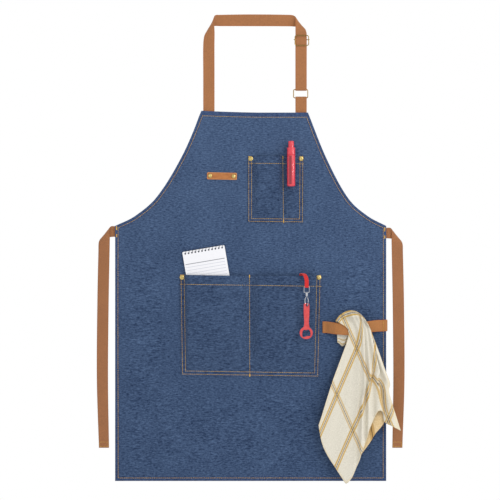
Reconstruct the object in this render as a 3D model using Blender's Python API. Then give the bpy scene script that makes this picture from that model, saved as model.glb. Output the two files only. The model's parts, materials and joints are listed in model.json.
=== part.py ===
"""A denim work apron with webbing straps, two divided pockets and the things carried in them.

It hangs from its neck band. The front faces -Y, +Z is up, and the origin is at the middle of
the neck band's lower edge, where it hangs. Sizes are in millimetres until MM turns them to metres.
"""

import math

import bmesh
import bpy
from mathutils import Matrix, Vector

MM = 0.001
GAP = 0.3  # clearance between touching pieces

# Cloth panel
PANEL_W = 610.0
PANEL_FOOT = -1025.0
SIDE_TOP = -451.0
BIB_TOP = -196.0
BIB_LEFT = -111.0
BIB_RIGHT = 129.0
CLOTH = 1.0
HEM_W = 10.0
HEM_T = 1.8

# Webbing
WEB_W = 25.4
WEB_T = 1.6
SEWN_Y = CLOTH + HEM_T + GAP + WEB_T / 2  # middle of a strap sewn behind the turned hem

# Neck hardware
WIRE = 2.2
WRAP = WIRE / 2 + GAP + WEB_T / 2  # middle of a strap wrapped round a wire
RUN_Y = 2.65  # the neck strap's right run
RUN_X = (100.8, 126.2)
RING_Y = RUN_Y + WRAP
RING_X = (96.6, 128.6)
RING_Z = (-162.7, -143.7)
SLIDER_X = (99.8, 130.6)
SLIDER_Z = (-45.0, -22.5)
BAR_Z = -31.3
BAR_Y = RUN_Y + 1.5 * WEB_T + 2 * GAP + WIRE / 2

# Pockets: left, right, top, foot, then the divider and how far each side stands out
BIB_POCKET = (-6.4, 119.4, -294.3, -443.5)
BIB_DIVIDER = 74.5
LOW_POCKET = (-160.0, 159.4, -561.5, -790.0)
LOW_DIVIDER = -1.0
SEW_FLAT = 11.0  # flat sewn border at each side of a pocket

# Rivets
RIVET_R = 5.25
RIVET_POST_R = 1.5
RIVET_HOLE_R = 1.9
TAB_RIVET_R = 4.6

# Leather tab
TAB_SIZE = (67.3, 1.6, 15.8)
TAB_AT = (-64.6, -339.0)
TAB_TILT = math.radians(1.2)

# Waist ties
TIE_FOOT = -950.5
TIE_HINGE_X = PANEL_W / 2 + 1.15
TIE_HINGE_Y = SEWN_Y + WEB_T / 2 + GAP

# Notepad, leaning left in the low pocket
PAD_W = 96.0
PAD_H = 203.0
PAD_TILT = math.radians(9.6)
PAD_TOP_LEFT = (-153.8, -510.0)
PAD_BACK_Y = -1.8
PAD_CARD_T = 0.8
PAD_PAGES_T = 3.2
COIL_TURNS = 12
COIL_R = 3.25
COIL_RISE = 3.6
COIL_Z = -1.9
PAD_HOLE_Z = -5.0
COIL_WIRE = 0.9
PAD_HOLE_R = 1.9

# Marker pen
PEN_X = 90.8
PEN_Y = -14.2
PEN_R = 9.1
PEN_BORE = 6.6
PEN_CORE = 4.2
PEN_BUTTON = 6.3
PEN_Z = (-362.5, -292.3, -275.2, -261.0)  # foot, joint of body and cap, top of the cap, top of the button

# Lanyard, swivel hook and bottle opener
FOB_X = 125.2
FOB_Y = -26.5
EYE_TOP = -587.5
EYE_H = 12.5
EYE_HALF = 5.8
EYE_WIRE = 1.4
LANYARD_W = 9.0
LANYARD_T = 1.2
OPENER_T = 2.8
OPENER_HOLE = (126.1, -628.8)
HEAD_AT = (124.1, -690.6)
HEAD_R = (14.7, 13.9)


def clear_scene():
    for obj in list(bpy.data.objects):
        bpy.data.objects.remove(obj, do_unlink=True)


def material(name, color, roughness, metallic=0.0):
    made = bpy.data.materials.new(name)
    made.use_nodes = True
    shader = made.node_tree.nodes["Principled BSDF"]
    shader.inputs["Base Color"].default_value = (*color, 1.0)
    shader.inputs["Roughness"].default_value = roughness
    shader.inputs["Metallic"].default_value = metallic
    made.diffuse_color = (*color, 1.0)
    return made


def denim():
    return material("denim", (0.055, 0.092, 0.175), 0.9)


def webbing():
    return material("webbing", (0.42, 0.185, 0.085), 0.8)


def brass():
    return material("brass", (0.70, 0.58, 0.24), 0.3, 1.0)


def leather():
    return material("leather", (0.47, 0.195, 0.07), 0.55)


def red_plastic():
    return material("red_plastic", (0.62, 0.045, 0.05), 0.2)


def steel():
    return material("steel", (0.62, 0.60, 0.58), 0.25, 1.0)


def white_paper():
    return material("paper", (0.88, 0.88, 0.9), 0.8)


def grey_card():
    return material("card", (0.45, 0.43, 0.40), 0.9)


def red_web():
    return material("red_web", (0.68, 0.04, 0.035), 0.7)


def towel_cotton():
    return material("towel_cotton", (0.72, 0.68, 0.57), 0.95)


def link(name, mesh, finish):
    """The named object in the scene, with its material; the mesh is in millimetres until here."""
    obj = bpy.data.objects.new(name, mesh)
    bpy.context.scene.collection.objects.link(obj)
    if finish:
        obj.data.materials.append(finish)
    return obj


def from_bmesh(name, shape, finish, origin=(0.0, 0.0, 0.0), smooth=False):
    """Moves the shape so that its object's origin is at the given point, and scales it to metres."""
    bmesh.ops.recalc_face_normals(shape, faces=shape.faces)
    place = Vector(origin)
    bmesh.ops.translate(shape, verts=shape.verts, vec=-place)
    bmesh.ops.scale(shape, verts=shape.verts, vec=(MM, MM, MM))
    mesh = bpy.data.meshes.new(name)
    shape.to_mesh(mesh)
    shape.free()
    if smooth:
        mesh.shade_smooth()
        mesh.set_sharp_from_angle(angle=math.radians(40))
    obj = link(name, mesh, finish)
    obj.location = place * MM
    return obj


def cut(obj, cutter):
    modifier = obj.modifiers.new("Cut", "BOOLEAN")
    modifier.operation = "DIFFERENCE"
    modifier.object = cutter
    cutter.hide_render = True
    cutter.display_type = "WIRE"


def smoothstep(t):
    t = min(max(t, 0.0), 1.0)
    return t * t * (3.0 - 2.0 * t)


def through_points(points, each):
    """A smooth open curve through the given points, with so many steps between neighbours."""
    found = []
    last = len(points) - 1
    for i in range(last):
        a = points[max(i - 1, 0)]
        b = points[i]
        c = points[i + 1]
        d = points[min(i + 2, last)]
        for step in range(each):
            t = step / each
            found.append(tuple(
                0.5 * (2 * b[k] + (c[k] - a[k]) * t + (2 * a[k] - 5 * b[k] + 4 * c[k] - d[k]) * t * t
                       + (3 * b[k] - a[k] - 3 * c[k] + d[k]) * t ** 3)
                for k in range(len(b))
            ))
    found.append(tuple(points[last]))
    return found


def plate(outline, y_front, thick):
    """A flat plate: the outline, as (x, z) points, drawn in the XZ plane and extruded backwards."""
    shape = bmesh.new()
    face = shape.faces.new([shape.verts.new((x, y_front, z)) for x, z in outline])
    moved = bmesh.ops.extrude_face_region(shape, geom=[face])["geom"]
    verts = [item for item in moved if isinstance(item, bmesh.types.BMVert)]
    bmesh.ops.translate(shape, verts=verts, vec=(0.0, thick, 0.0))
    bmesh.ops.recalc_face_normals(shape, faces=shape.faces)
    return shape


def ribbon(name, edges, thick, finish, origin=(0.0, 0.0, 0.0)):
    """A flat strap. Each pair of points is its two edges at one place along it."""
    shape = bmesh.new()
    rows = [[shape.verts.new(point) for point in pair] for pair in edges]
    for (a, b), (c, d) in zip(rows, rows[1:]):
        shape.faces.new((a, b, d, c))
    obj = from_bmesh(name, shape, finish, origin)
    wall = obj.modifiers.new("Thickness", "SOLIDIFY")
    wall.thickness = thick * MM
    wall.offset = 0.0
    return obj


def level_edges(low, high, route):
    """Ribbon edges for a strap that keeps its width along X and follows (y, z) points."""
    return [((low, y, z), (high, y, z)) for y, z in route]


def wire(name, points, diameter, finish, closed=False, sides=3, origin=(0.0, 0.0, 0.0)):
    """A round wire along the points, with flat caps on an open end."""
    curve = bpy.data.curves.new(name, "CURVE")
    curve.dimensions = "3D"
    curve.bevel_depth = diameter / 2 * MM
    curve.bevel_resolution = sides
    curve.use_fill_caps = True
    spline = curve.splines.new("POLY")
    spline.points.add(len(points) - 1)
    place = Vector(origin)
    for slot, point in zip(spline.points, points):
        slot.co = (*((Vector(point) - place) * MM), 1.0)
    spline.use_cyclic_u = closed
    obj = link(name, curve, finish)
    obj.location = place * MM
    return obj


def rounded_loop(x_low, x_high, z_low, z_high, radius, y, steps=4):
    """Points round a rectangle with round corners, in the XZ plane."""
    corners = (
        (x_high - radius, z_high - radius, 0),
        (x_low + radius, z_high - radius, 90),
        (x_low + radius, z_low + radius, 180),
        (x_high - radius, z_low + radius, 270),
    )
    points = []
    for x, z, start in corners:
        for step in range(steps + 1):
            angle = math.radians(start + 90 * step / steps)
            points.append((x + radius * math.cos(angle), y, z + radius * math.sin(angle)))
    return points


def turned_y(profile, x, z, steps=14):
    """A turned solid about a Y axis through (x, z). The profile is (radius, y) points, axis to axis."""
    shape = bmesh.new()
    verts = [shape.verts.new((x + radius, y, z)) for radius, y in profile]
    edges = [shape.edges.new(pair) for pair in zip(verts, verts[1:])]
    bmesh.ops.spin(
        shape, geom=verts + edges, cent=(x, 0.0, z), axis=(0.0, 1.0, 0.0),
        angle=2 * math.pi, steps=steps, use_merge=True,
    )
    bmesh.ops.remove_doubles(shape, verts=shape.verts, dist=0.001)
    return shape


def turned_z(profile, x, y, steps=16):
    """A turned solid about a Z axis through (x, y). The profile is (radius, z) points, axis to axis."""
    shape = bmesh.new()
    verts = [shape.verts.new((x + radius, y, z)) for radius, z in profile]
    edges = [shape.edges.new(pair) for pair in zip(verts, verts[1:])]
    bmesh.ops.spin(
        shape, geom=verts + edges, cent=(x, y, 0.0), axis=(0.0, 0.0, 1.0),
        angle=2 * math.pi, steps=steps, use_merge=True,
    )
    bmesh.ops.remove_doubles(shape, verts=shape.verts, dist=0.001)
    return shape


def hole_cutter(name, x, z, radius, y_low=-12.0, y_high=12.0):
    shape = turned_y(((0.0, y_low), (radius, y_low), (radius, y_high), (0.0, y_high)), x, z, 12)
    return from_bmesh(name, shape, None)


def panel_outline():
    """The apron's edge: bib, scooped armholes, straight sides and foot."""
    half = PANEL_W / 2
    left_arm = ((BIB_LEFT, BIB_TOP), (-157.0, -299.0), (-213.0, -388.0), (-262.0, -430.0), (-half, SIDE_TOP))
    right_arm = ((BIB_RIGHT, BIB_TOP), (171.0, -300.0), (221.0, -391.0), (265.0, -430.0), (half, SIDE_TOP))
    left = through_points(left_arm, 4)
    right = through_points(right_arm, 4)
    foot = [(half, PANEL_FOOT), (-half, PANEL_FOOT)]
    return right + foot + left[::-1]


def make_panel(finish, holes):
    shape = plate(panel_outline(), 0.0, CLOTH)
    back = max(shape.faces, key=lambda face: face.calc_center_median().y)
    rim = bmesh.ops.inset_region(shape, faces=[back], thickness=HEM_W, use_even_offset=True)["faces"]
    raised = bmesh.ops.extrude_face_region(shape, geom=rim)["geom"]
    verts = [item for item in raised if isinstance(item, bmesh.types.BMVert)]
    bmesh.ops.translate(shape, verts=verts, vec=(0.0, HEM_T, 0.0))
    bmesh.ops.delete(shape, geom=rim, context="FACES")
    obj = from_bmesh("apron_panel", shape, finish)
    for cutter in holes:
        cut(obj, cutter)
    return obj


def spread(low, high, divider, shoulder):
    """Columns across a pocket, close together where the cloth leaves a seam."""
    steps = (0.0, 0.33, 0.66, 1.0)
    marks = [low, low + SEW_FLAT / 2]
    for start, end in ((low + SEW_FLAT, divider - 1.0), (divider + 1.0, high - SEW_FLAT)):
        marks += [start + shoulder * s for s in steps]
        marks += [(start + end) / 2]
        marks += [end - shoulder * s for s in reversed(steps)]
    return marks + [high - SEW_FLAT / 2, high]


def bulge(x, low, high, divider, shoulder, peaks):
    """How far the pocket cloth stands out at x, full height."""
    if x < divider:
        near = min(x - low - SEW_FLAT, divider - 1.0 - x)
        return peaks[0] * smoothstep(near / shoulder)
    near = min(x - divider - 1.0, high - SEW_FLAT - x)
    return peaks[1] * smoothstep(near / shoulder)


def make_pocket(name, box, divider, shoulder, peaks, finish, holes):
    """Pocket cloth sewn round three sides and down the divider, open at the top."""
    low, high, top, foot = box
    columns = spread(low, high, divider, shoulder)
    rises = (0.0, 0.04, 0.1, 0.2, 0.32, 0.5, 0.75, 1.0)
    shape = bmesh.new()
    grid = bmesh.ops.create_grid(shape, x_segments=len(columns) - 1, y_segments=len(rises) - 1, size=1.0)
    across = len(columns) - 1
    upward = len(rises) - 1
    for vert in grid["verts"]:
        x = columns[round((vert.co.x + 1) / 2 * across)]
        rise = rises[round((vert.co.y + 1) / 2 * upward)]
        fullness = math.sin(math.pi / 2 * min(1.0, max(0.0, rise - 0.04) / 0.36))
        out = bulge(x, low, high, divider, shoulder, peaks) * fullness
        vert.co = (x, -GAP - CLOTH / 2 - out, foot + (top - foot) * rise)
    obj = from_bmesh(name, shape, finish, smooth=True)
    wall = obj.modifiers.new("Thickness", "SOLIDIFY")
    wall.thickness = CLOTH * MM
    wall.offset = 0.0
    for cutter in holes:
        cut(obj, cutter)
    return obj


def make_rivet(name, x, z, radius, seat, finish):
    """A domed cap with its post, and the burr that it is set on behind the panel."""
    post_end = CLOTH + GAP + 1.3
    profile = (
        (0.0, seat - 2.2), (0.5 * radius, seat - 1.95), (0.84 * radius, seat - 1.25), (radius, seat - 0.5),
        (radius, seat), (RIVET_POST_R, seat), (RIVET_POST_R, post_end), (0.0, post_end),
    )
    from_bmesh(name + "_cap", turned_y(profile, x, z), finish, smooth=True)
    start = CLOTH + GAP
    ring = (
        (RIVET_HOLE_R, start), (0.86 * radius, start), (0.86 * radius, start + 0.5),
        (RIVET_HOLE_R + 0.7, start + 1.1), (RIVET_HOLE_R, start + 1.1), (RIVET_HOLE_R, start),
    )
    from_bmesh(name + "_burr", turned_y(ring, x, z), finish, smooth=True)


def make_tab(finish, holes):
    """The stitched leather tab on the bib, tilted a little."""
    width, thick, height = TAB_SIZE
    shape = bmesh.new()
    bmesh.ops.create_cube(shape, size=1.0)
    bmesh.ops.scale(shape, verts=shape.verts, vec=(width, thick, height))
    corners = [e for e in shape.edges if abs(e.verts[0].co.y - e.verts[1].co.y) > 0.5 * thick]
    bmesh.ops.bevel(shape, geom=corners, offset=3.0, segments=4, profile=0.5, affect="EDGES")
    turn = Matrix.Rotation(TAB_TILT, 3, "Y")
    bmesh.ops.rotate(shape, verts=shape.verts, cent=(0.0, 0.0, 0.0), matrix=turn)
    bmesh.ops.translate(shape, verts=shape.verts, vec=(TAB_AT[0], -GAP - thick / 2, TAB_AT[1]))
    obj = from_bmesh("leather_tab", shape, finish)
    for cutter in holes:
        cut(obj, cutter)


def make_neck_strap(finish):
    """One strap: up from the bib, folded over behind the neck, and down through the slider to the ring."""
    left, right = RUN_X
    inner = BIB_LEFT + 4.2 + WEB_W
    outer = BIB_LEFT + 4.2
    route = [
        ((outer, SEWN_Y, -216.0), (inner, SEWN_Y, -216.0)),
        ((outer, SEWN_Y, -190.0), (inner, SEWN_Y, -190.0)),
        ((outer, 3.0, -110.0), (inner, 3.0, -110.0)),
        ((outer, 1.0, -44.0), (inner, 1.0, -40.0)),
        ((-104.5, 0.6, -24.0), (inner + 0.3, 0.0, -17.0)),
        ((-98.5, 3.5, -12.0), (-82.0, 0.0, 2.0)),
        ((-92.0, 8.5, -3.0), (-82.5, 3.0, 16.0)),
        ((-83.0, 12.0, 0.0), (-80.0, 9.0, 24.0)),
        ((-70.0, 13.0, 0.0), (-70.0, 13.0, 25.4)),
        ((0.0, 14.0, 0.0), (0.0, 14.0, 26.5)),
        ((88.0, 13.0, -0.5), (88.0, 13.0, 25.4)),
        ((104.0, 12.0, -1.5), (97.0, 10.0, 23.5)),
        ((116.0, 9.0, -3.0), (101.0, 6.0, 19.0)),
        ((123.0, 5.0, -8.0), (left, 3.4, 10.0)),
        ((125.5, 3.0, -15.0), (left, RUN_Y, -6.0)),
        ((right, RUN_Y, -20.0), (left, RUN_Y, -18.0)),
        ((right, RUN_Y, RING_Z[1]), (left, RUN_Y, RING_Z[1])),
    ]
    for step in range(1, 7):
        angle = math.pi * step / 6
        y = RING_Y - WRAP * math.cos(angle)
        z = RING_Z[1] - WRAP * math.sin(angle)
        route.append(((right, y, z), (left, y, z)))
    back = RING_Y + WRAP
    route.append(((right, back, RING_Z[1] + 6.0), (left, back, RING_Z[1] + 6.0)))
    ribbon("neck_strap", route, WEB_T, finish)


def make_strap_return(finish):
    """The strap behind, from the ring back up to the slider's bar. It shortens as the slider comes down."""
    start = RING_Z[1] + 6.0 + GAP
    route = ((RING_Y + WRAP, start), (RING_Y + WRAP, start + 8.0), (BAR_Y + WRAP, BAR_Z - 9.0))
    ribbon("strap_return", level_edges(*RUN_X, route), WEB_T, finish)


def make_strap_end(finish):
    """The strap's end, sewn back on itself round the slider's bar."""
    route = [(BAR_Y + WRAP, BAR_Z - 9.0 + GAP)]
    for step in range(0, 7):
        angle = math.pi * step / 6
        route.append((BAR_Y + WRAP * math.cos(angle), BAR_Z + WRAP * math.sin(angle)))
    route += [(BAR_Y - 1.5, BAR_Z - 6.0), (BAR_Y, BAR_Z - 13.0)]
    ribbon("strap_end_loop", level_edges(*RUN_X, route), WEB_T, finish, (0.0, BAR_Y, BAR_Z))


def make_slider(finish):
    """Three-bar slider: an outer frame before the strap, and a bar behind it."""
    front = RUN_Y - WEB_T / 2 - GAP - WIRE / 2
    place = (0.0, BAR_Y, BAR_Z)
    loop = rounded_loop(*SLIDER_X, *SLIDER_Z, 4.0, front)
    wire("slider_frame", loop, WIRE, finish, closed=True, origin=place)
    ends = (SLIDER_X[0] - 2.0, SLIDER_X[1] + 1.0)
    near = front + WIRE + GAP
    route = [
        (ends[0], near, BAR_Z), (ends[0] + 0.3, BAR_Y - 1.2, BAR_Z), (ends[0] + 1.4, BAR_Y, BAR_Z),
        (ends[1] - 1.4, BAR_Y, BAR_Z), (ends[1] - 0.3, BAR_Y - 1.2, BAR_Z), (ends[1], near, BAR_Z),
    ]
    wire("slider_bar", route, WIRE * 0.9, finish, origin=place)


def make_ring(finish):
    """The rectangular ring that joins the neck strap to the bib."""
    loop = rounded_loop(*RING_X, *RING_Z, 3.0, RING_Y)
    wire("strap_ring", loop, WIRE, finish, closed=True, origin=(0.0, RING_Y, RING_Z[1]))


def make_ring_tab(finish):
    """A short loop of webbing round the ring's lower bar, both ends sewn behind the bib's hem."""
    bar = RING_Z[0]
    route = [(SEWN_Y, -216.0), (SEWN_Y, -194.0), (RING_Y - WRAP, -172.0)]
    for step in range(0, 7):
        angle = math.pi * step / 6
        route.append((RING_Y - WRAP * math.cos(angle), bar + WRAP * math.sin(angle)))
    second = SEWN_Y + WEB_T + GAP
    route += [(RING_Y + WRAP, -172.0), (second, -194.0), (second, -216.0)]
    ribbon("ring_tab", level_edges(*RUN_X, route), WEB_T, finish)


def make_tie(side, finish):
    """A waist tie: its sewn root behind the side hem, and the hanging length, folded down loosely."""
    name = "left" if side < 0 else "right"
    top = -451.5 if side < 0 else -455.0
    foot = top - 24.0
    root = [((side * x, SEWN_Y, top), (side * x, SEWN_Y, foot)) for x in (288.0, 305.0)]
    root.append(((side * (TIE_HINGE_X - 0.15), SEWN_Y, top), (side * (TIE_HINGE_X - 0.15), SEWN_Y, foot)))
    ribbon(name + "_tie_root", root, WEB_T, finish)
    start = TIE_HINGE_X + 0.15
    shape = (
        (start, SEWN_Y, top, start, SEWN_Y, foot),
        (313.0, SEWN_Y + 0.6, top, 320.0, SEWN_Y + 0.8, foot - 1.0),
        (315.8, SEWN_Y, top - 1.5, 333.0, SEWN_Y + 1.2, foot - 3.0),
        (316.8, 2.6, top - 5.0, 340.0, 4.6, foot - 7.5),
        (317.0, 1.6, top - 12.0, 342.3, 2.6, foot - 15.0),
        (317.0, 1.0, top - 30.0, 342.6, 1.2, foot - 28.0),
        (319.5, 1.0, -618.0, 345.0, 1.0, -618.0),
        (321.0, 1.4, -798.0, 346.2, 1.4, -798.0),
        (318.8, 1.6, TIE_FOOT, 341.5, 1.6, TIE_FOOT),
    )
    edges = [((side * a, b, c), (side * d, e, f)) for a, b, c, d, e, f in through_points(shape, 2)]
    pivot = (side * TIE_HINGE_X, TIE_HINGE_Y, top)
    ribbon(name + "_tie", edges, WEB_T, finish, pivot)


def make_towel_loop(finish):
    """A webbing loop beside the low pocket, its right end turned round the apron's edge."""
    top = -666.0
    sewn = -GAP - WEB_T / 2
    edge = PANEL_W / 2
    places = (
        (161.5, sewn, 0.0), (170.0, sewn - 0.8, 0.0), (180.0, -8.0, -1.0), (191.0, -12.8, -2.5),
        (215.0, -14.2, -4.0), (240.0, -14.2, -3.0), (262.0, -12.5, 0.5), (280.0, -7.0, 3.0),
        (295.0, sewn - 0.8, 3.5), (edge - 0.5, sewn - 0.2, 4.0), (edge + 1.6, -0.4, 4.0),
        (edge + 2.2, 1.4, 4.0), (edge + 1.6, 3.2, 4.0), (edge - 1.0, SEWN_Y, 4.0), (edge - 18.0, SEWN_Y, 4.0),
    )
    edges = [((x, y, top + lift), (x, y, top + lift - 26.0)) for x, y, lift in places]
    ribbon("towel_loop", edges, WEB_T, finish)


def make_towel(finish):
    """A cotton towel hung over its loop: a short tail behind it and a long fall in front."""
    folds = (
        (194.0, 217.0, (-4.0, -716.0), (-8.5, -716.0)),
        (193.0, 240.0, (-2.5, -694.0), (-10.5, -694.0)),
        (192.0, 252.0, (-2.0, -664.0), (-11.5, -664.0)),
        (191.0, 258.0, (-5.0, -646.0), (-13.0, -655.0)),
        (194.0, 258.0, (-17.0, -641.5), (-17.0, -652.0)),
        (200.0, 262.0, (-30.0, -648.0), (-22.0, -656.0)),
        (216.0, 268.0, (-33.0, -670.0), (-18.5, -670.0)),
        (217.0, 274.0, (-33.0, -700.0), (-18.0, -700.0)),
        (201.0, 293.0, (-34.0, -750.0), (-16.0, -750.0)),
        (183.0, 311.0, (-35.0, -800.0), (-14.0, -800.0)),
        (166.0, 318.0, (-35.0, -850.0), (-13.0, -850.0)),
        (152.0, 334.0, (-34.0, -902.0), (-13.0, -902.0)),
        (154.0, 283.0, (-32.0, -916.0), (-12.0, -916.0)),
        (171.0, 250.0, (-28.0, -960.0), (-11.0, -960.0)),
        (194.0, 233.0, (-24.0, -1000.0), (-10.0, -1000.0)),
        (208.0, 218.0, (-18.0, -1028.0), (-10.0, -1028.0)),
    )
    shape = bmesh.new()
    loops = []
    for low, high, outer, inner in folds:
        verts = [shape.verts.new((x, y, z)) for x, (y, z) in (
            (low, outer), (high, outer), (high, inner), (low, inner))]
        edges = [shape.edges.new((verts[k], verts[(k + 1) % 4])) for k in range(4)]
        loops.append(edges)
        if len(loops) in (1, len(folds)):
            shape.faces.new(verts)
    for first, second in zip(loops, loops[1:]):
        bmesh.ops.bridge_loops(shape, edges=first + second)
    from_bmesh("towel", shape, finish, (225.0, -22.0, -641.5))


def pad_frame():
    """Turns pad coordinates (right from its left edge, y, down from its top edge) into place."""
    corner = Vector((PAD_TOP_LEFT[0], 0.0, PAD_TOP_LEFT[1]))
    return Matrix.Translation(corner) @ Matrix.Rotation(-PAD_TILT, 4, "Y")


def pad_slab(y_back, thick):
    shape = bmesh.new()
    bmesh.ops.create_cube(shape, size=1.0)
    bmesh.ops.scale(shape, verts=shape.verts, vec=(PAD_W, thick, PAD_H))
    bmesh.ops.translate(shape, verts=shape.verts, vec=(PAD_W / 2, y_back - thick / 2, -PAD_H / 2))
    corners = [e for e in shape.edges if abs(e.verts[0].co.y - e.verts[1].co.y) > 0.5 * thick]
    bmesh.ops.bevel(shape, geom=corners, offset=2.5, segments=3, profile=0.5, affect="EDGES")
    bmesh.ops.transform(shape, verts=shape.verts, matrix=pad_frame())
    return shape


def pad_coil_x(turn):
    """Where a turn of the coil crosses the pad, from its left edge."""
    return 6.0 + (PAD_W - 12.0) * turn / (COIL_TURNS - 1)


def make_notepad(paper, card, metal):
    """Pages and a backing card, joined by a wire coil through a row of holes."""
    frame = pad_frame()
    origin = frame @ Vector((0.0, PAD_BACK_Y, 0.0))
    card_front = PAD_BACK_Y - PAD_CARD_T
    pages_back = card_front - GAP
    pages_front = pages_back - PAD_PAGES_T
    backing = from_bmesh("notepad_card", pad_slab(PAD_BACK_Y, PAD_CARD_T), card, origin)
    pages = from_bmesh("notepad_pages", pad_slab(pages_back, PAD_PAGES_T), paper, origin)
    middle = (PAD_BACK_Y + pages_front) / 2
    punch = bmesh.new()
    for turn in range(COIL_TURNS):
        at = frame @ Vector((pad_coil_x(turn), middle, PAD_HOLE_Z))
        place = Matrix.Translation(at) @ Matrix.Rotation(math.pi / 2, 4, "X")
        bmesh.ops.create_cone(
            punch, cap_ends=True, segments=10, radius1=PAD_HOLE_R, radius2=PAD_HOLE_R,
            depth=20.0, matrix=place,
        )
    cutter = from_bmesh("pad_holes", punch, None)
    cut(backing, cutter)
    cut(pages, cutter)
    points = []
    per_turn = 12
    for step in range((COIL_TURNS - 1) * per_turn + 9):
        turn = (step - 4) / per_turn
        angle = 2 * math.pi * turn
        x = pad_coil_x(0) + (PAD_W - 12.0) * turn / (COIL_TURNS - 1)
        # An oval turn: straight down through its hole, and over the top edge.
        y = middle - COIL_R * math.sin(angle)
        z = COIL_Z - COIL_RISE * math.cos(angle)
        points.append(tuple(frame @ Vector((x, y, z))))
    wire("notepad_coil", points, COIL_WIRE, metal, sides=0, origin=origin)


def make_pen(finish, dark, metal):
    """A stubby marker clipped on the bib pocket: body and ink core, cap, push button, clip inside."""
    foot, joint, top, tip = PEN_Z
    middle = (PEN_X, PEN_Y)
    body = (
        (0.0, foot), (PEN_R - 1.2, foot), (PEN_R, foot + 1.2), (PEN_R, joint - GAP),
        (PEN_BORE, joint - GAP), (PEN_BORE, foot + 3.0), (0.0, foot + 3.0),
    )
    from_bmesh("pen_body", turned_z(body, *middle, 24), finish, smooth=True)
    core = ((0.0, foot + 3.4), (PEN_CORE, foot + 3.4), (PEN_CORE, joint - 1.0), (0.0, joint - 1.0))
    from_bmesh("pen_core", turned_z(core, *middle), dark, smooth=True)
    cap = (
        (0.0, joint), (PEN_R, joint), (PEN_R, top - 1.0), (PEN_R - 1.0, top),
        (PEN_BUTTON + 0.4, top), (PEN_BUTTON + 0.4, top - 11.0), (0.0, top - 11.0),
    )
    from_bmesh("pen_cap", turned_z(cap, *middle, 24), finish, smooth=True)
    button = (
        (0.0, top - 6.0), (PEN_BUTTON, top - 6.0), (PEN_BUTTON, tip - 1.2),
        (PEN_BUTTON - 1.2, tip), (0.0, tip),
    )
    from_bmesh("pen_button", turned_z(button, *middle, 20), finish, (PEN_X, PEN_Y, top), smooth=True)
    near = PEN_Y + PEN_R + GAP + 0.5
    inside = -GAP - 1.4
    route = (
        (near, top - 3.0), (near, top - 8.0), (near + 1.4, top - 13.0),
        (inside, -293.0), (inside, -335.0),
    )
    ribbon("pen_clip", level_edges(PEN_X - 3.5, PEN_X + 3.5, route), 1.0, metal)


def make_lanyard(finish):
    """Red webbing from inside the low pocket, out over its mouth, folded round the swivel's eye."""
    half = LANYARD_W / 2
    wrap = EYE_WIRE / 2 + GAP + LANYARD_T / 2
    route = [
        (112.0, -4.6, -640.0), (112.5, -5.0, -600.0), (113.0, -5.6, -572.0), (113.5, -7.0, -561.5),
        (114.5, -10.5, -558.4), (117.0, -15.0, -558.2), (120.5, -20.0, -560.5), (123.6, -25.0, -566.0),
        (FOB_X, FOB_Y - wrap, -574.0),
    ]
    edges = [((x - half, y, z), (x + half, y, z)) for x, y, z in through_points(route, 2)]
    for step in range(0, 7):
        angle = math.pi * step / 6
        y = FOB_Y - wrap * math.cos(angle)
        z = EYE_TOP - wrap * math.sin(angle)
        edges.append(((FOB_X - half, y, z), (FOB_X + half, y, z)))
    for y, z in ((FOB_Y + wrap, -584.0), (FOB_Y - wrap + LANYARD_T + GAP, -577.5)):
        edges.append(((FOB_X - half, y, z), (FOB_X + half, y, z)))
    ribbon("lanyard_strap", edges, LANYARD_T, finish)


def make_swivel(finish):
    """The swivel's eye through the strap, its collar, the hook that turns in it, and the gate."""
    place = (FOB_X, FOB_Y, EYE_TOP)
    loop = rounded_loop(FOB_X - EYE_HALF, FOB_X + EYE_HALF, EYE_TOP - EYE_H, EYE_TOP, 1.0, FOB_Y)
    wire("swivel_eye", loop, EYE_WIRE, finish, closed=True, origin=place)
    top = EYE_TOP - EYE_H - EYE_WIRE / 2 - GAP
    collar = ((0.0, top), (2.4, top), (3.1, top - 1.2), (3.1, top - 4.0), (2.4, top - 5.0), (0.0, top - 5.0))
    from_bmesh("swivel_collar", turned_z(collar, FOB_X, FOB_Y), finish, place, smooth=True)
    neck = top - 5.0 - GAP
    pivot = (FOB_X, FOB_Y, neck)
    stem = ((0.0, neck), (2.7, neck), (2.7, neck - 1.6), (2.0, neck - 3.0), (0.0, neck - 3.0))
    from_bmesh("hook_stem", turned_z(stem, FOB_X, FOB_Y), finish, pivot, smooth=True)
    bow = [
        (FOB_X - 1.0, FOB_Y, neck - 4.6), (FOB_X - 3.2, FOB_Y + 1.4, neck - 7.5),
        (FOB_X - 3.9, FOB_Y + 3.0, neck - 13.0), (FOB_X - 3.2, FOB_Y + 3.6, neck - 18.5),
        (FOB_X - 0.9, FOB_Y + 2.6, neck - 21.6), (FOB_X + 0.9, FOB_Y, neck - 22.6),
        (FOB_X + 2.2, FOB_Y - 2.6, neck - 21.4), (FOB_X + 3.2, FOB_Y - 3.4, neck - 18.0),
    ]
    wire("hook_bow", through_points(bow, 3), WIRE, finish, sides=2, origin=pivot)
    gate_top = (FOB_X + 2.6, FOB_Y - 1.2, neck - 4.9)
    gate = [
        gate_top, (FOB_X + 3.0, FOB_Y - 2.0, neck - 8.0),
        (FOB_X + 3.3, FOB_Y - 3.0, neck - 12.0), (FOB_X + 3.3, FOB_Y - 3.5, neck - 16.2),
    ]
    wire("hook_gate", through_points(gate, 2), 1.7, finish, sides=2, origin=gate_top)


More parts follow.
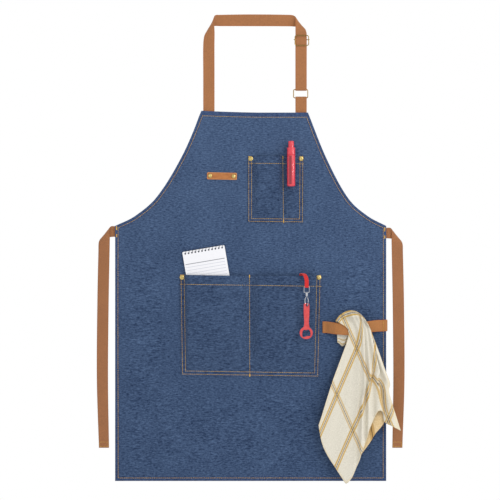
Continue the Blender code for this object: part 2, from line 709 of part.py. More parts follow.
def make_opener(finish):
    """A flat bottle opener: a waisted handle with a hanging hole, and a ring head that grips the cap."""
    x, top = HEAD_AT[0] + 0.8, -624.6
    waist = 4.9
    outline = [
        (x - 4.6, top), (x - 6.2, top - 1.8), (x - 6.4, top - 22.0), (x - waist, -668.0), (x - 6.0, -674.5),
    ]
    for step in range(0, 21):
        angle = math.radians(118 + 304 * step / 20)
        outline.append((HEAD_AT[0] + HEAD_R[0] * math.cos(angle), HEAD_AT[1] + HEAD_R[1] * math.sin(angle)))
    outline += [(x + 6.4, -674.5), (x + waist, -668.0), (x + 6.4, top - 22.0)]
    outline += [(x + 6.2, top - 1.8), (x + 4.6, top)]
    shape = plate(outline, FOB_Y - OPENER_T / 2, OPENER_T)
    pivot = (OPENER_HOLE[0], FOB_Y, OPENER_HOLE[1])
    obj = from_bmesh("bottle_opener", shape, finish, pivot)
    cut(obj, hole_cutter("opener_hang_hole", *OPENER_HOLE, 2.9, FOB_Y - 6.0, FOB_Y + 6.0))
    mouth = (
        (115.6, -694.0), (116.6, -687.5), (119.5, -684.6), (124.0, -685.2), (128.5, -683.6),
        (131.6, -686.5), (133.2, -691.5), (132.6, -696.2), (127.0, -697.0), (120.5, -698.6), (116.6, -698.4),
    )
    cutter = from_bmesh("opener_mouth", plate(mouth, FOB_Y - 5.0, 10.0), None)
    cut(obj, cutter)


def build():
    clear_scene()
    cloth = denim()
    strap = webbing()
    metal = brass()
    hide = leather()
    red = red_plastic()
    silver = steel()
    paper = white_paper()
    card = grey_card()
    pocket_rivets = {
        "bib_left_rivet": (0.0, -300.0), "bib_right_rivet": (113.4, -300.0),
        "low_left_rivet": (-154.5, -567.0), "low_right_rivet": (153.9, -567.0),
    }
    tab_rivets = {"tab_left_rivet": (-91.0, -338.5), "tab_right_rivet": (-38.4, -339.6)}
    holes = {
        name: hole_cutter(name + "_hole", x, z, RIVET_HOLE_R)
        for name, (x, z) in {**pocket_rivets, **tab_rivets}.items()
    }
    make_panel(cloth, holes.values())
    bib_holes = (holes["bib_left_rivet"], holes["bib_right_rivet"])
    low_holes = (holes["low_left_rivet"], holes["low_right_rivet"])
    make_pocket("bib_pocket", BIB_POCKET, BIB_DIVIDER, 10.0, (6.2, 3.2), cloth, bib_holes)
    make_pocket("low_pocket", LOW_POCKET, LOW_DIVIDER, 6.0, (9.8, 9.0), cloth, low_holes)
    make_tab(hide, (holes["tab_left_rivet"], holes["tab_right_rivet"]))
    for name, (x, z) in pocket_rivets.items():
        make_rivet(name, x, z, RIVET_R, -2 * GAP - CLOTH, metal)
    for name, (x, z) in tab_rivets.items():
        make_rivet(name, x, z, TAB_RIVET_R, -2 * GAP - TAB_SIZE[1], metal)
    make_neck_strap(strap)
    make_strap_return(strap)
    make_strap_end(strap)
    make_slider(metal)
    make_ring(metal)
    make_ring_tab(strap)
    make_tie(-1, strap)
    make_tie(1, strap)
    make_towel_loop(strap)
    make_towel(towel_cotton())
    make_notepad(paper, card, silver)
    make_pen(red, card, silver)
    make_lanyard(red_web())
    make_swivel(silver)
    make_opener(red)


build()
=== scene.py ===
"""A denim bib apron with tan webbing straps, hung up with its towel, notepad, pen and bottle opener."""
import json
import math
import random

import bmesh
import bpy
from mathutils import Matrix, Vector, geometry


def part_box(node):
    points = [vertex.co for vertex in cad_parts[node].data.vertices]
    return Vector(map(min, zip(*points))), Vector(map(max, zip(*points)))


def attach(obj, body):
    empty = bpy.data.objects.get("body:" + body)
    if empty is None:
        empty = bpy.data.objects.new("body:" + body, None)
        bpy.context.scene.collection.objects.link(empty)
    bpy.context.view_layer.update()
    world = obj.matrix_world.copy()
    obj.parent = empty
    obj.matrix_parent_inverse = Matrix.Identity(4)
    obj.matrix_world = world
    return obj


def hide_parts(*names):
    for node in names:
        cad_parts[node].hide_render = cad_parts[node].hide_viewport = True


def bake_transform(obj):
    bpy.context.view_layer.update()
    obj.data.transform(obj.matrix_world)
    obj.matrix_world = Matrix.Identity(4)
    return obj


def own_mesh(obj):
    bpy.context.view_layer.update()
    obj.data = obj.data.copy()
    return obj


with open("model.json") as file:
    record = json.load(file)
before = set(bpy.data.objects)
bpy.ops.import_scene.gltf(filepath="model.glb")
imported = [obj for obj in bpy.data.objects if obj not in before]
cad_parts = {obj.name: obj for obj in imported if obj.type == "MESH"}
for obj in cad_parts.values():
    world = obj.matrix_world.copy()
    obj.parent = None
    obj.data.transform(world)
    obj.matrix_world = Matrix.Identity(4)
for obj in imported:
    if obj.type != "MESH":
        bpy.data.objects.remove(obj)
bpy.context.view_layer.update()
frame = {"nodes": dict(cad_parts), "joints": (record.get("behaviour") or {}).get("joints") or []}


# ---- Studio
# A plain white room with a big soft lamp up on the right and a small one beside the apron for the
# glossy pieces. A pale floor lies below.
# The camera stands level with the apron's middle, far enough back for a flat, catalogue view.
MM = 0.001
FRAME_W = 1.125  # width of the view at the apron, metres
VIEW_AT = (-0.0015, -0.5053)  # what the view is centred on, across and up
LENS = 135.0
SENSOR = 36.0


def chart(red, green, blue):
    """A colour given as 0 to 255 values from a colour chart, as linear light."""
    linear = []
    for value in (red, green, blue):
        share = value / 255
        linear.append(share / 12.92 if share <= 0.04045 else ((share + 0.055) / 1.055) ** 2.4)
    return (*linear, 1.0)


def soft_lamp(name, place, aim, size, power):
    """A square soft box at a place, turned to a point."""
    lamp = bpy.data.lights.new(name, "AREA")
    lamp.size = size
    lamp.energy = power
    obj = bpy.data.objects.new(name, lamp)
    obj.location = place
    obj.rotation_euler = (Vector(aim) - Vector(place)).to_track_quat("-Z", "Y").to_euler()
    bpy.context.scene.collection.objects.link(obj)


room = bpy.data.worlds.new("white_room")
room.use_nodes = True
room.node_tree.nodes["Background"].inputs["Color"].default_value = (1.0, 1.0, 1.0, 1.0)
room.node_tree.nodes["Background"].inputs["Strength"].default_value = 1.0
bpy.context.scene.world = room
bpy.context.scene.view_settings.view_transform = "Standard"
soft_lamp("key", (1.7, -2.4, 0.9), (0.0, 0.0, -0.5), 1.1, 23.5)
soft_lamp("edge", (2.3, -1.4, -0.2), (0.1, 0.0, -0.5), 0.35, 8.0)

lens = bpy.data.cameras.new("camera")
lens.lens = LENS
lens.sensor_width = SENSOR
camera = bpy.data.objects.new("camera", lens)
camera.location = (VIEW_AT[0], -FRAME_W * LENS / SENSOR, VIEW_AT[1])
camera.rotation_euler = (math.pi / 2, 0.0, 0.0)
bpy.context.scene.collection.objects.link(camera)
bpy.context.scene.camera = camera


class Finish:
    """A material being made up: each step adds a texture or a mix and hands on its output."""

    def __init__(self, name, **surface):
        self.material = bpy.data.materials.new(name)
        self.material.use_nodes = True
        self.nodes = self.material.node_tree.nodes
        self.links = self.material.node_tree.links
        self.shader = self.nodes["Principled BSDF"]
        for setting, value in surface.items():
            self.shader.inputs[setting.replace("_", " ")].default_value = value

    def put(self, socket, value):
        """Joins a texture to a socket, or sets the socket to a number or a colour."""
        if isinstance(value, bpy.types.NodeSocket):
            self.links.new(value, socket)
        else:
            socket.default_value = value

    def place(self, stretch=(1.0, 1.0, 1.0), turn=0.0):
        """Where a point lies on the object, stretched, and turned about the line of sight."""
        mapping = self.nodes.new("ShaderNodeMapping")
        mapping.inputs["Scale"].default_value = stretch
        mapping.inputs["Rotation"].default_value = (0.0, turn, 0.0)
        self.links.new(self.nodes.new("ShaderNodeTexCoord").outputs["Object"], mapping.inputs["Vector"])
        return mapping.outputs["Vector"]

    def noise(self, size, detail=3.0, stretch=(1.0, 1.0, 1.0)):
        """Cloudy values about 0.5, with features of this size in metres."""
        texture = self.nodes.new("ShaderNodeTexNoise")
        texture.inputs["Scale"].default_value = 1 / size
        texture.inputs["Detail"].default_value = detail
        self.links.new(self.place(stretch), texture.inputs["Vector"])
        return texture.outputs["Fac"]

    def reach(self, direction, turn=0.0):
        """How far a point lies along a direction, in metres."""
        product = self.nodes.new("ShaderNodeVectorMath")
        product.operation = "DOT_PRODUCT"
        product.inputs[1].default_value = direction
        self.links.new(self.place(turn=turn), product.inputs[0])
        return product.outputs["Value"]

    def trait(self, name):
        """A number kept on the mesh's points under this name."""
        attribute = self.nodes.new("ShaderNodeAttribute")
        attribute.attribute_name = name
        return attribute.outputs["Fac"]

    def sum(self, operation, first, second=0.0):
        """One step of arithmetic on two values."""
        maths = self.nodes.new("ShaderNodeMath")
        maths.operation = operation
        self.put(maths.inputs[0], first)
        self.put(maths.inputs[1], second)
        return maths.outputs["Value"]

    def ribs(self, value, pitch):
        """Even ribs, from 0 to 1 and back once every pitch."""
        wave = self.sum("SINE", self.sum("MULTIPLY", value, 2 * math.pi / pitch))
        return self.sum("ADD", self.sum("MULTIPLY", wave, 0.5), 0.5)

    def spread(self, value, low, high, to_low=0.0, to_high=1.0):
        """Moves the range low to high onto another range, and holds it there."""
        ramp = self.nodes.new("ShaderNodeMapRange")
        for socket, number in zip(ramp.inputs[1:5], (low, high, to_low, to_high)):
            socket.default_value = number
        self.put(ramp.inputs[0], value)
        return ramp.outputs["Result"]

    def mix(self, share, first, second):
        """Two colours mixed, the share saying how much of the second."""
        mixer = self.nodes.new("ShaderNodeMix")
        mixer.data_type = "RGBA"
        self.put(mixer.inputs[0], share)
        self.put(mixer.inputs[6], first)
        self.put(mixer.inputs[7], second)
        return mixer.outputs[2]

    def finished(self, colour, roughness, height=None, depth=0.2 * MM):
        """Joins up the colour, the roughness and the height of the surface's relief."""
        self.put(self.shader.inputs["Base Color"], colour)
        self.put(self.shader.inputs["Roughness"], roughness)
        if height is not None:
            bump = self.nodes.new("ShaderNodeBump")
            bump.inputs["Distance"].default_value = depth
            self.put(bump.inputs["Height"], height)
            self.links.new(bump.outputs["Normal"], self.shader.inputs["Normal"])
        return self.material


def piece(name, shape, finish, body, stands_for=()):
    """Turns a mesh under construction into a smooth object that moves with a body."""
    bmesh.ops.recalc_face_normals(shape, faces=shape.faces[:])
    for face in shape.faces:
        face.smooth = True
    mesh = bpy.data.meshes.new(name)
    shape.to_mesh(mesh)
    shape.free()
    mesh.materials.append(finish)
    obj = bpy.data.objects.new(name, mesh)
    bpy.context.scene.collection.objects.link(obj)
    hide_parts(*stands_for)
    if body:
        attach(obj, body)
    return obj


def repaint(finish, *nodes):
    """Gives CAD nodes a detailed material."""
    for node in nodes:
        frame["nodes"][node].data.materials.clear()
        frame["nodes"][node].data.materials.append(finish)


pale = Finish("pale_floor")
grain = pale.noise(0.01, 5.0)
floor_colour = pale.mix(grain, chart(236, 236, 236), chart(242, 242, 242))
floor_finish = pale.finished(floor_colour, pale.spread(grain, 0.2, 0.8, 0.7, 0.8), grain, 0.05 * MM)
ground = bmesh.new()
bmesh.ops.create_grid(ground, x_segments=8, y_segments=8, size=1.6)
bmesh.ops.translate(ground, verts=ground.verts, vec=(0.0, 0.1, -1.3))
floor_mesh = bpy.data.meshes.new("floor")
ground.to_mesh(floor_mesh)
ground.free()
floor_mesh.materials.append(floor_finish)
floor = bpy.data.objects.new("floor", floor_mesh)
bpy.context.scene.collection.objects.link(floor)


# ---- Apron panel
# One piece of mid-blue denim, cut with curved armholes up to a narrow bib. All its edges are
# turned to the back and held by one row of tan thread, which leaves a darker, firmer border.
cloth_low, cloth_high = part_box("apron_panel")
HALF = cloth_high.x / MM
FOOT = cloth_low.z / MM
BIB_TOP = cloth_high.z / MM
SIDE_TOP = -451.0
CLOTH = 1.0
HEM_W = 10.0
HEM_T = 1.8
ARMHOLE_LEFT = ((-111.0, BIB_TOP), (-157.0, -299.0), (-213.0, -388.0), (-262.0, -430.0), (-HALF, SIDE_TOP))
ARMHOLE_RIGHT = ((129.0, BIB_TOP), (171.0, -300.0), (221.0, -391.0), (265.0, -430.0), (HALF, SIDE_TOP))
THREAD_IN = 6.8  # from an edge to its row of stitches
THREAD_TOP = 10.5  # the same at the top of the bib
STITCH = 4.0
STITCH_PITCH = 4.2


def through(points, pitch):
    """A smooth curve through the points, with stops no further apart than about the pitch."""
    points = [Vector(point) for point in points]
    gaps = [(b - a).length for a, b in zip(points, points[1:])]
    slopes = []
    for k in range(len(points)):
        before = max(k - 1, 0)
        after = min(k + 1, len(gaps))
        slopes.append((points[after] - points[before]) / sum(gaps[before:after]))
    route = []
    for k, gap in enumerate(gaps):
        count = max(1, math.ceil(gap / pitch))
        for step in range(count):
            t = step / count
            start = points[k] * (2 * t**3 - 3 * t**2 + 1) + points[k + 1] * (3 * t**2 - 2 * t**3)
            lean = slopes[k] * (t**3 - 2 * t**2 + t) + slopes[k + 1] * (t**3 - t**2)
            route.append(start + lean * gap)
    route.append(points[-1])
    return route


def ease(value):
    """From 0 to 1, starting and ending gently."""
    value = min(1.0, max(0.0, value))
    return value * value * (3 - 2 * value)


def stops(low, high, pitch, near=()):
    """Grid lines between two edges: close together at each edge's offsets, then evenly spaced."""
    inner = [low + offset for offset in near] + [high - offset for offset in near]
    first = low + (near[-1] if near else 0.0)
    last = high - (near[-1] if near else 0.0)
    count = max(1, round((last - first) / pitch))
    inner += [first + (last - first) * k / count for k in range(count + 1)]
    return sorted(set(round(value, 4) for value in inner + [low, high]))


def closed_sheet(columns, rows, place, thick, traits=None, backward=False):
    """Cloth of real thickness. place(u, v) gives each point of a grid in millimetres.

    The thickness goes half to each side, or all of it straight back from a front face.
    """
    shape = bmesh.new()
    layers = {key: shape.verts.layers.float.new(key) for key in (traits or {})}
    inward = shape.verts.layers.float_vector.new("inward")
    across = len(columns) - 1
    upward = len(rows) - 1
    bmesh.ops.create_grid(shape, x_segments=across, y_segments=upward, size=0.5)
    at = {}
    for vert in shape.verts:
        u = columns[round((vert.co.x + 0.5) * across)]
        v = rows[round((vert.co.y + 0.5) * upward)]
        at[vert] = (u, v)
        vert.co = Vector(place(u, v)) * MM
    shape.normal_update()
    for vert, (u, v) in at.items():
        for key, layer in layers.items():
            vert[layer] = traits[key](u, v)
        depth = (thick(u, v) if callable(thick) else thick) * MM
        if backward:
            vert[inward] = (0.0, depth, 0.0)
            continue
        vert[inward] = -vert.normal * depth
        vert.co += vert.normal * depth / 2
    made = bmesh.ops.extrude_face_region(shape, geom=shape.faces[:], use_keep_orig=True)
    for item in made["geom"]:
        if isinstance(item, bmesh.types.BMVert):
            item.co += item[inward]
    return shape


def walk(route, pitch):
    """Places an even pitch apart along a route of (x, z) points, each with its direction."""
    left = pitch / 2
    for start, end in zip(route, route[1:]):
        run = (end - start).length
        while left < run:
            yield start + (end - start) * (left / run), (end - start).normalized()
            left += pitch
        left -= run


def one_stitch():
    """The points and faces of a stitch of unit size: a plump bead, drawn out along Z."""
    bead = bmesh.new()
    bmesh.ops.create_uvsphere(bead, u_segments=6, v_segments=4, radius=1.0)
    bead.verts.index_update()
    points = [vert.co.copy() for vert in bead.verts]
    faces = [[vert.index for vert in face.verts] for face in bead.faces]
    bead.free()
    return points, faces


def sew(shape, route, front, pitch=STITCH_PITCH, length=STITCH, wide=0.48):
    """Adds a row of thread stitches along a route of (x, z) points. front(x, z) is the cloth's face."""
    for spot, heading in walk([Vector(point) for point in route], pitch):
        middle = Vector((spot.x, front(spot.x, spot.y) - 0.15, spot.y)) * MM
        turn = Matrix.Rotation(math.atan2(heading.x, heading.y) + random.uniform(-0.05, 0.05), 4, "Y")
        size = Matrix.Diagonal((wide * MM, wide * 0.7 * MM, length / 2 * MM, 1.0))
        lay = Matrix.Translation(middle) @ turn @ size
        verts = [shape.verts.new(lay @ point) for point in STITCH_POINTS]
        for corners in STITCH_FACES:
            shape.faces.new([verts[k] for k in corners])


STITCH_POINTS, STITCH_FACES = one_stitch()


def tack(shape, spot, front, long=6.0, wide=2.2, upright=True):
    """A bar tack: stitches packed side by side across the end of a seam."""
    x, z = spot
    count = round(long / 0.75)
    for k in range(count):
        along = (k - (count - 1) / 2) * 0.75
        start = (x - wide / 2, z + along) if upright else (x + along, z - wide / 2)
        end = (x + wide / 2, z + along) if upright else (x + along, z + wide / 2)
        sew(shape, (start, end), front, pitch=wide, length=wide + 0.5)


def inset(outline, distances):
    """A closed outline moved inward, side by side, each by its own distance."""
    lines = []
    for k, start in enumerate(outline):
        end = outline[(k + 1) % len(outline)]
        aside = Vector((end.y - start.y, start.x - end.x)).normalized() * distances[k]
        lines.append((start + aside, end + aside))
    moved = []
    for k, line in enumerate(lines):
        before = lines[k - 1]
        meet = geometry.intersect_line_line_2d(
            before[0] - (before[1] - before[0]), before[1] + (before[1] - before[0]),
            line[0] - (line[1] - line[0]), line[1] + (line[1] - line[0]),
        )
        moved.append(meet or line[0])
    return moved


def denim(name, light=1.0, hem_share=0.4, faded=0.03):
    """Indigo warp over pale weft: a fine steep twill, slubs, cloudy fading and a dark pressed border."""
    finish = Finish(name, Sheen_Weight=0.12, Sheen_Roughness=0.5, Specular_IOR_Level=0.2)
    edge = finish.trait("edge")
    twill = finish.ribs(finish.reach((1.0, 0.0, 0.85)), 1.15 * MM)
    slub = finish.noise(2.0 * MM, 2.0, (0.22, 1.0, 1.0))
    fleck = finish.noise(2.8 * MM, 2.0, (0.6, 1.0, 1.0))
    fade = finish.spread(finish.reach((0.0, 0.0, 1.0)), -0.8, -0.3, -0.025, faded)
    cloud = finish.noise(70 * MM, 3.0)
    tone = finish.sum("ADD", finish.sum("MULTIPLY", slub, 0.55), finish.sum("MULTIPLY", fleck, 0.45))
    tone = finish.sum("ADD", tone, finish.sum("MULTIPLY", finish.sum("SUBTRACT", cloud, 0.5), 0.14))
    tone = finish.sum("ADD", tone, finish.sum("MULTIPLY", finish.sum("SUBTRACT", twill, 0.5), 0.1))
    tone = finish.sum("ADD", tone, fade)
    share = finish.spread(tone, 0.32, 0.7)
    dark = chart(22 * light, 42 * light, 73 * light)
    pale_warp = chart(79 * light, 101 * light, 134 * light)
    cloth = finish.mix(share, dark, pale_warp)
    pressed = finish.mix(
        share,
        chart(24 * light, 40 * light, 80 * light),
        chart(50 * light, 68 * light, 114 * light),
    )
    border = finish.spread(edge, 9.0 * MM, 10.5 * MM, 1.0, 0.0)
    pucker = finish.noise(5.5 * MM, 2.0)
    near_edge = finish.spread(edge, 0.3 * MM, 1.3 * MM, 1.0, 0.0)
    worn = finish.sum("MULTIPLY", near_edge, finish.spread(pucker, 0.45, 0.7, 0.0, 0.5))
    colour = finish.mix(finish.sum("MULTIPLY", border, hem_share), cloth, pressed)
    colour = finish.mix(worn, colour, chart(120 * light, 138 * light, 168 * light))
    from_row = finish.sum("ABSOLUTE", finish.sum("SUBTRACT", edge, THREAD_IN * MM))
    groove = finish.spread(from_row, 0.0, 1.6 * MM)
    height = finish.sum("ADD", finish.sum("MULTIPLY", twill, 0.35), finish.sum("MULTIPLY", slub, 0.5))
    height = finish.sum("ADD", height, finish.sum("MULTIPLY", groove, 0.9))
    height = finish.sum("ADD", height, finish.sum("MULTIPLY", finish.sum("MULTIPLY", border, pucker), 1.4))
    return finish.finished(colour, finish.spread(share, 0.0, 1.0, 0.86, 0.96), height, 0.35 * MM)


def thread(name):
    """Tan polyester topstitching thread, with lighter and darker stitches."""
    finish = Finish(name, Sheen_Weight=0.05, Specular_IOR_Level=0.2)
    shade = finish.noise(4.5 * MM, 1.0)
    twist = finish.ribs(finish.reach((1.0, 0.6, 1.0)), 0.5 * MM)
    colour = finish.mix(finish.spread(shade, 0.35, 0.65), chart(188, 145, 60), chart(224, 184, 96))
    return finish.finished(colour, finish.spread(twist, 0.0, 1.0, 0.45, 0.65), twist, 0.06 * MM)


armhole_left = through(ARMHOLE_LEFT, 9.0)
armhole_right = through(ARMHOLE_RIGHT, 9.0)
outline = [Vector((-HALF, FOOT)), *reversed(armhole_left), *armhole_right, Vector((HALF, FOOT))]
top_side = len(armhole_left)
sides_of_outline = list(zip(outline, outline[1:] + outline[:1]))


def side_at(curve, z):
    """How far out a side of the panel is at a height."""
    if z <= SIDE_TOP:
        return curve[-1].x
    for upper, lower in zip(curve, curve[1:]):
        if lower.y <= z <= upper.y:
            return upper.x + (lower.x - upper.x) * (upper.y - z) / (upper.y - lower.y)
    return curve[0].x


def to_edge(x, z):
    """Distance from the panel's nearest edge, up to 60 mm."""
    nearest = 60.0
    spot = Vector((x, z))
    for start, end in sides_of_outline:
        along, share = geometry.intersect_point_line(spot, start, end)
        along = start + (end - start) * min(1.0, max(0.0, share))
        nearest = min(nearest, (along - spot).length)
    return nearest


BORDER = (1.2, 3.0, 5.2, 6.8, 8.4, 10.0, 11.5, 16.0)
panel_columns = [x / (2 * HALF) for x in stops(0.0, 2 * HALF, 8.0, BORDER)]
panel_rows = [z for z in stops(FOOT, SIDE_TOP, 8.0, BORDER) if z < SIDE_TOP - 16.0 or z == SIDE_TOP]
panel_rows += [SIDE_TOP - offset for offset in (12.0, 8.0, 4.0)]
panel_rows += [SIDE_TOP + 2.1 * k for k in range(1, 11)]
panel_rows += stops(SIDE_TOP + 27.0, BIB_TOP, 7.0, BORDER)
panel_rows = sorted(set(round(z, 3) for z in panel_rows))
edge_seen = {}


def panel_x(u, z):
    """How far out a grid line lies at a height, where u runs from 0 to 1 across the panel."""
    left = side_at(armhole_left, z)
    right = side_at(armhole_right, z)
    span = right - left
    # The border's grid lines keep their distance from the edge as the panel narrows.
    share = 2 * HALF * u if u < 0.5 else 2 * HALF * (1 - u)
    held = min(share, BORDER[-1])
    inner = (share - held) / (HALF - BORDER[-1]) * (span / 2 - BORDER[-1])
    return left + held + inner if u < 0.5 else right - held - inner


def panel_edge(u, z):
    """Distance from the panel's edge at a grid point, worked out once."""
    key = (u, z)
    if key not in edge_seen:
        edge_seen[key] = to_edge(panel_x(u, z), z)
    return edge_seen[key]


def hang(x, z):
    """Slack in the skirt: long shallow waves below and beside the pockets, always to the back."""
    free = ease((-800.0 - z) / 90.0) * ease((z - FOOT - 14.0) / 50.0)
    beside = ease((abs(x) - 185.0) / 50.0) * ease((-500.0 - z) / 60.0) * ease((z - FOOT - 14.0) / 50.0)
    free = max(free, beside)
    free *= ease((HALF - 16.0 - abs(x)) / 50.0)
    wave = 0.5 + 0.3 * math.sin(x / 46.0 + 0.6) + 0.2 * math.sin(x / 21.0 - z / 160.0)
    return 2.2 * free * wave


def lift(x, z):
    """The bib's top edge rides up a little at the left, where the strap pulls it."""
    return 4.0 * min(1.0, max(0.0, (20.0 - x) / 130.0)) ** 1.5 * ease((z - BIB_TOP + 45.0) / 45.0)


def panel_place(u, z):
    """Where a grid point of the panel's front face lies."""
    x = panel_x(u, z)
    return (x, hang(x, z), z + lift(x, z))


def panel_thick(u, z):
    """One layer of cloth, and the turned hem near the edges."""
    return CLOTH + HEM_T * (1 - ease((panel_edge(u, z) - HEM_W + 0.4) / 1.6))


blue = denim("denim")
tan_thread = thread("tan_thread")
panel_shape = closed_sheet(
    panel_columns, panel_rows, panel_place, panel_thick,
    {"edge": lambda u, z: panel_edge(u, z) * MM}, backward=True,
)
panel = piece("panel_cloth", panel_shape, blue, "root", ["apron_panel"])

random.seed(4)
seam = bmesh.new()
distances = [THREAD_IN] * len(outline)
distances[top_side] = THREAD_TOP
seam_route = inset(outline, distances)
seam_route = [Vector((spot.x, spot.y + lift(spot.x, spot.y))) for spot in through(seam_route, 20.0)]
sew(seam, seam_route + seam_route[:1], hang)
tack(seam, (-HALF + 3.4, SIDE_TOP - 5.0), hang, 9.0, 2.4)
tack(seam, (-HALF + 3.4, SIDE_TOP - 22.0), hang, 7.0, 2.4)
tack(seam, (HALF - 3.4, SIDE_TOP - 8.0), hang, 9.0, 2.4)
tack(seam, (HALF - 3.4, SIDE_TOP - 25.0), hang, 7.0, 2.4)
piece("panel_stitching", seam, tan_thread, "root")


# ---- Patch pockets
# Two denim patch pockets, each sewn on with two rows of stitches and split by a sewn divider.
# Their mouths are turned in and stitched lower down, and the cloth stands off the panel between seams.
GAP = 0.3
SEW_FLAT = 11.0
POCKETS = {
    # In each: the divider's foot and its lean, how soon the cloth stands out at the sides and at the
    # divider, how far it stands out on each side, the mouth's hem and dip, where the two side rows
    # run, how far the sides come in at the foot, and how far the pocket drops to the right.
    "bib_pocket": (74.5, -2.2, (10.0, 10.0), (6.2, 3.2), 16.6, 0.4, (2.2, 8.4), (0.0, 1.0), 0.6),
    "low_pocket": (-1.0, -1.5, (6.0, 22.0), (9.8, 9.0), 23.0, 1.6, (3.4, 10.4), (3.6, 5.6), 2.4),
}


def stand_off(x, low, high, divider, shoulders, peaks):
    """How far the pocket cloth stands off between its seams."""
    at_side, at_divider = shoulders
    if x < divider:
        return peaks[0] * min(ease((x - low - SEW_FLAT) / at_side), ease((divider - 1.0 - x) / at_divider))
    return peaks[1] * min(ease((x - divider - 1.0) / at_divider), ease((high - SEW_FLAT - x) / at_side))


def make_pocket(name, finish):
    """One pocket: a hemmed patch that stands off between its seams, and the rows of thread that hold it."""
    divider, lean, shoulders, peaks, hem, dip, rows_at, leans, drop = POCKETS[name]
    lowest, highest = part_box(name)
    low, high = lowest.x / MM, highest.x / MM
    foot, top = lowest.z / MM, highest.z / MM
    border = (1.0, 2.2, 3.5, 5.0, 7.0, 9.0, SEW_FLAT)
    columns = stops(low, high, 5.0, border)
    columns += [divider + step for step in (-4.0, -2.0, -1.0, 0.0, 1.0, 2.0, 4.0)]
    columns = sorted(set(columns))
    rows = stops(foot, top, 5.5, border[:6]) + [top - hem + step for step in (-1.5, -0.6, 0.0, 0.6, 1.5)]
    rows = sorted(set(rows))

    def front(x, z):
        """How far forward the square pocket's face lies, with its fullness, creases and seams."""
        rise = (z - foot) / (top - foot)
        fullness = math.sin(math.pi / 2 * min(1.0, max(0.0, rise - 0.04) / 0.36))
        out = stand_off(x, low, high, divider, shoulders, peaks) * fullness
        crumple = 0.35 * math.sin(x / 13.0 + z / 31.0) * math.sin(z / 17.0) * min(1.0, out / 3.0)
        mouth = 0.35 * ease((z - top + hem + 0.8) / 1.2) - 0.3 * math.exp(-((z - top + hem) / 0.9) ** 2)
        beside = min(x - low, high - x, z - foot)
        seams = min(abs(beside - rows_at[0]), abs(beside - rows_at[1]), abs(x - divider) * 1.2)
        pinch = 0.22 * math.exp(-(seams / 0.9) ** 2)
        return -GAP - CLOTH - out - crumple - mouth + pinch

    def askew(x, z):
        """How far the hand-laid pocket is off square at this spot."""
        across = (x - low) / (high - low)
        down = min(1.0, max(0.0, (top - z) / (top - foot)))
        inward = down * (leans[0] * (1 - across) - leans[1] * across)
        tilt = drop * (0.35 + 0.65 * ease(down / 0.1)) * (1 - 2 * across)
        return inward, tilt

    def lay(x, z):
        """Where a point of the cloth lies once it is sewn on askew and its mouth sags."""
        sag = dip * (1 - ((2 * x - low - high) / (high - low)) ** 2) * ease((z - top + 40.0) / 40.0)
        inward, tilt = askew(x, z)
        return (x + inward, front(x, z), z + tilt - sag)

    def edge(x, z):
        """Distance from the three sewn edges, in metres. The open mouth has no pressed border."""
        return min(x - low, high - x, z - foot) * MM

    shape = closed_sheet(columns, rows, lay, CLOTH - 0.1, {"edge": edge}, backward=True)
    pocket = piece(name + "_cloth", shape, finish, "root", [name])

    def moved(x, z):
        """Where a point of the square pocket ends up."""
        inward, tilt = askew(x, z)
        return (x + inward, z + tilt)

    def front_moved(x, z):
        """The face of the cloth at a point of the pocket as it is sewn on."""
        inward, tilt = askew(x, z)
        inward, tilt = askew(x - inward, z - tilt)
        return front(x - inward, z - tilt)

    seam = bmesh.new()
    for offset in rows_at:
        corners = (
            (low + offset, top),
            (low + offset, foot + offset),
            (high - offset, foot + offset),
            (high - offset, top),
        )
        sew(seam, [moved(*corner) for corner in corners], front_moved)
    sew(seam, (moved(low, top - hem), moved(high, top - hem)), front_moved)
    sew(seam, (moved(divider + lean, top), moved(divider, foot)), front_moved)
    tack(seam, moved(divider + lean, top - 3.0), front_moved, 7.0, 2.2)
    tack(seam, moved(divider, foot + 3.0), front_moved, 7.0, 2.2)
    for x in (low + 5.5, high - 5.5):
        tack(seam, moved(x, top - 1.4), front_moved, 8.0, 2.0, upright=False)
    piece(name + "_stitching", seam, tan_thread, "root")


pocket_blue = denim("pocket_denim", 0.97, 0.2, -0.03)
for pocket_name in POCKETS:
    make_pocket(pocket_name, pocket_blue)


# ---- Rivets
# Brass rivets at the pocket mouths and two smaller ones in the leather tab: a domed cap with a
# rolled rim in front, and behind the panel the burr that each is hammered over.
def turned(profile, spot, segments=28):
    """A solid of revolution about a line of sight, from (radius, y) points."""
    shape = bmesh.new()
    verts = [shape.verts.new((radius * MM, y * MM, 0.0)) for radius, y in profile]
    edges = [shape.edges.new(pair) for pair in zip(verts, verts[1:])]
    bmesh.ops.spin(
        shape, geom=verts + edges, cent=(0.0, 0.0, 0.0), axis=(0.0, 1.0, 0.0), dvec=(0.0, 0.0, 0.0),
        angle=2 * math.pi, steps=segments, use_merge=True,
    )
    bmesh.ops.remove_doubles(shape, verts=shape.verts, dist=1e-6)
    bmesh.ops.translate(shape, verts=shape.verts, vec=spot)
    return shape


def brass_finish(name, bright, dull):
    """Brass with fine scratches and a little dull patina."""
    metal = Finish(name, Metallic=1.0)
    scratch = metal.noise(0.5 * MM, 3.0, (1.0, 1.0, 4.0))
    patina = metal.noise(2.5 * MM, 3.0)
    colour = metal.mix(metal.spread(patina, 0.35, 0.7), chart(*bright), chart(*dull))
    return metal.finished(colour, metal.spread(scratch, 0.3, 0.7, 0.2, 0.38), scratch, 0.03 * MM)


brass = brass_finish("rivet_brass", (216, 196, 132), (164, 138, 76))
buckle_brass = brass_finish("buckle_brass", (176, 148, 92), (112, 88, 50))

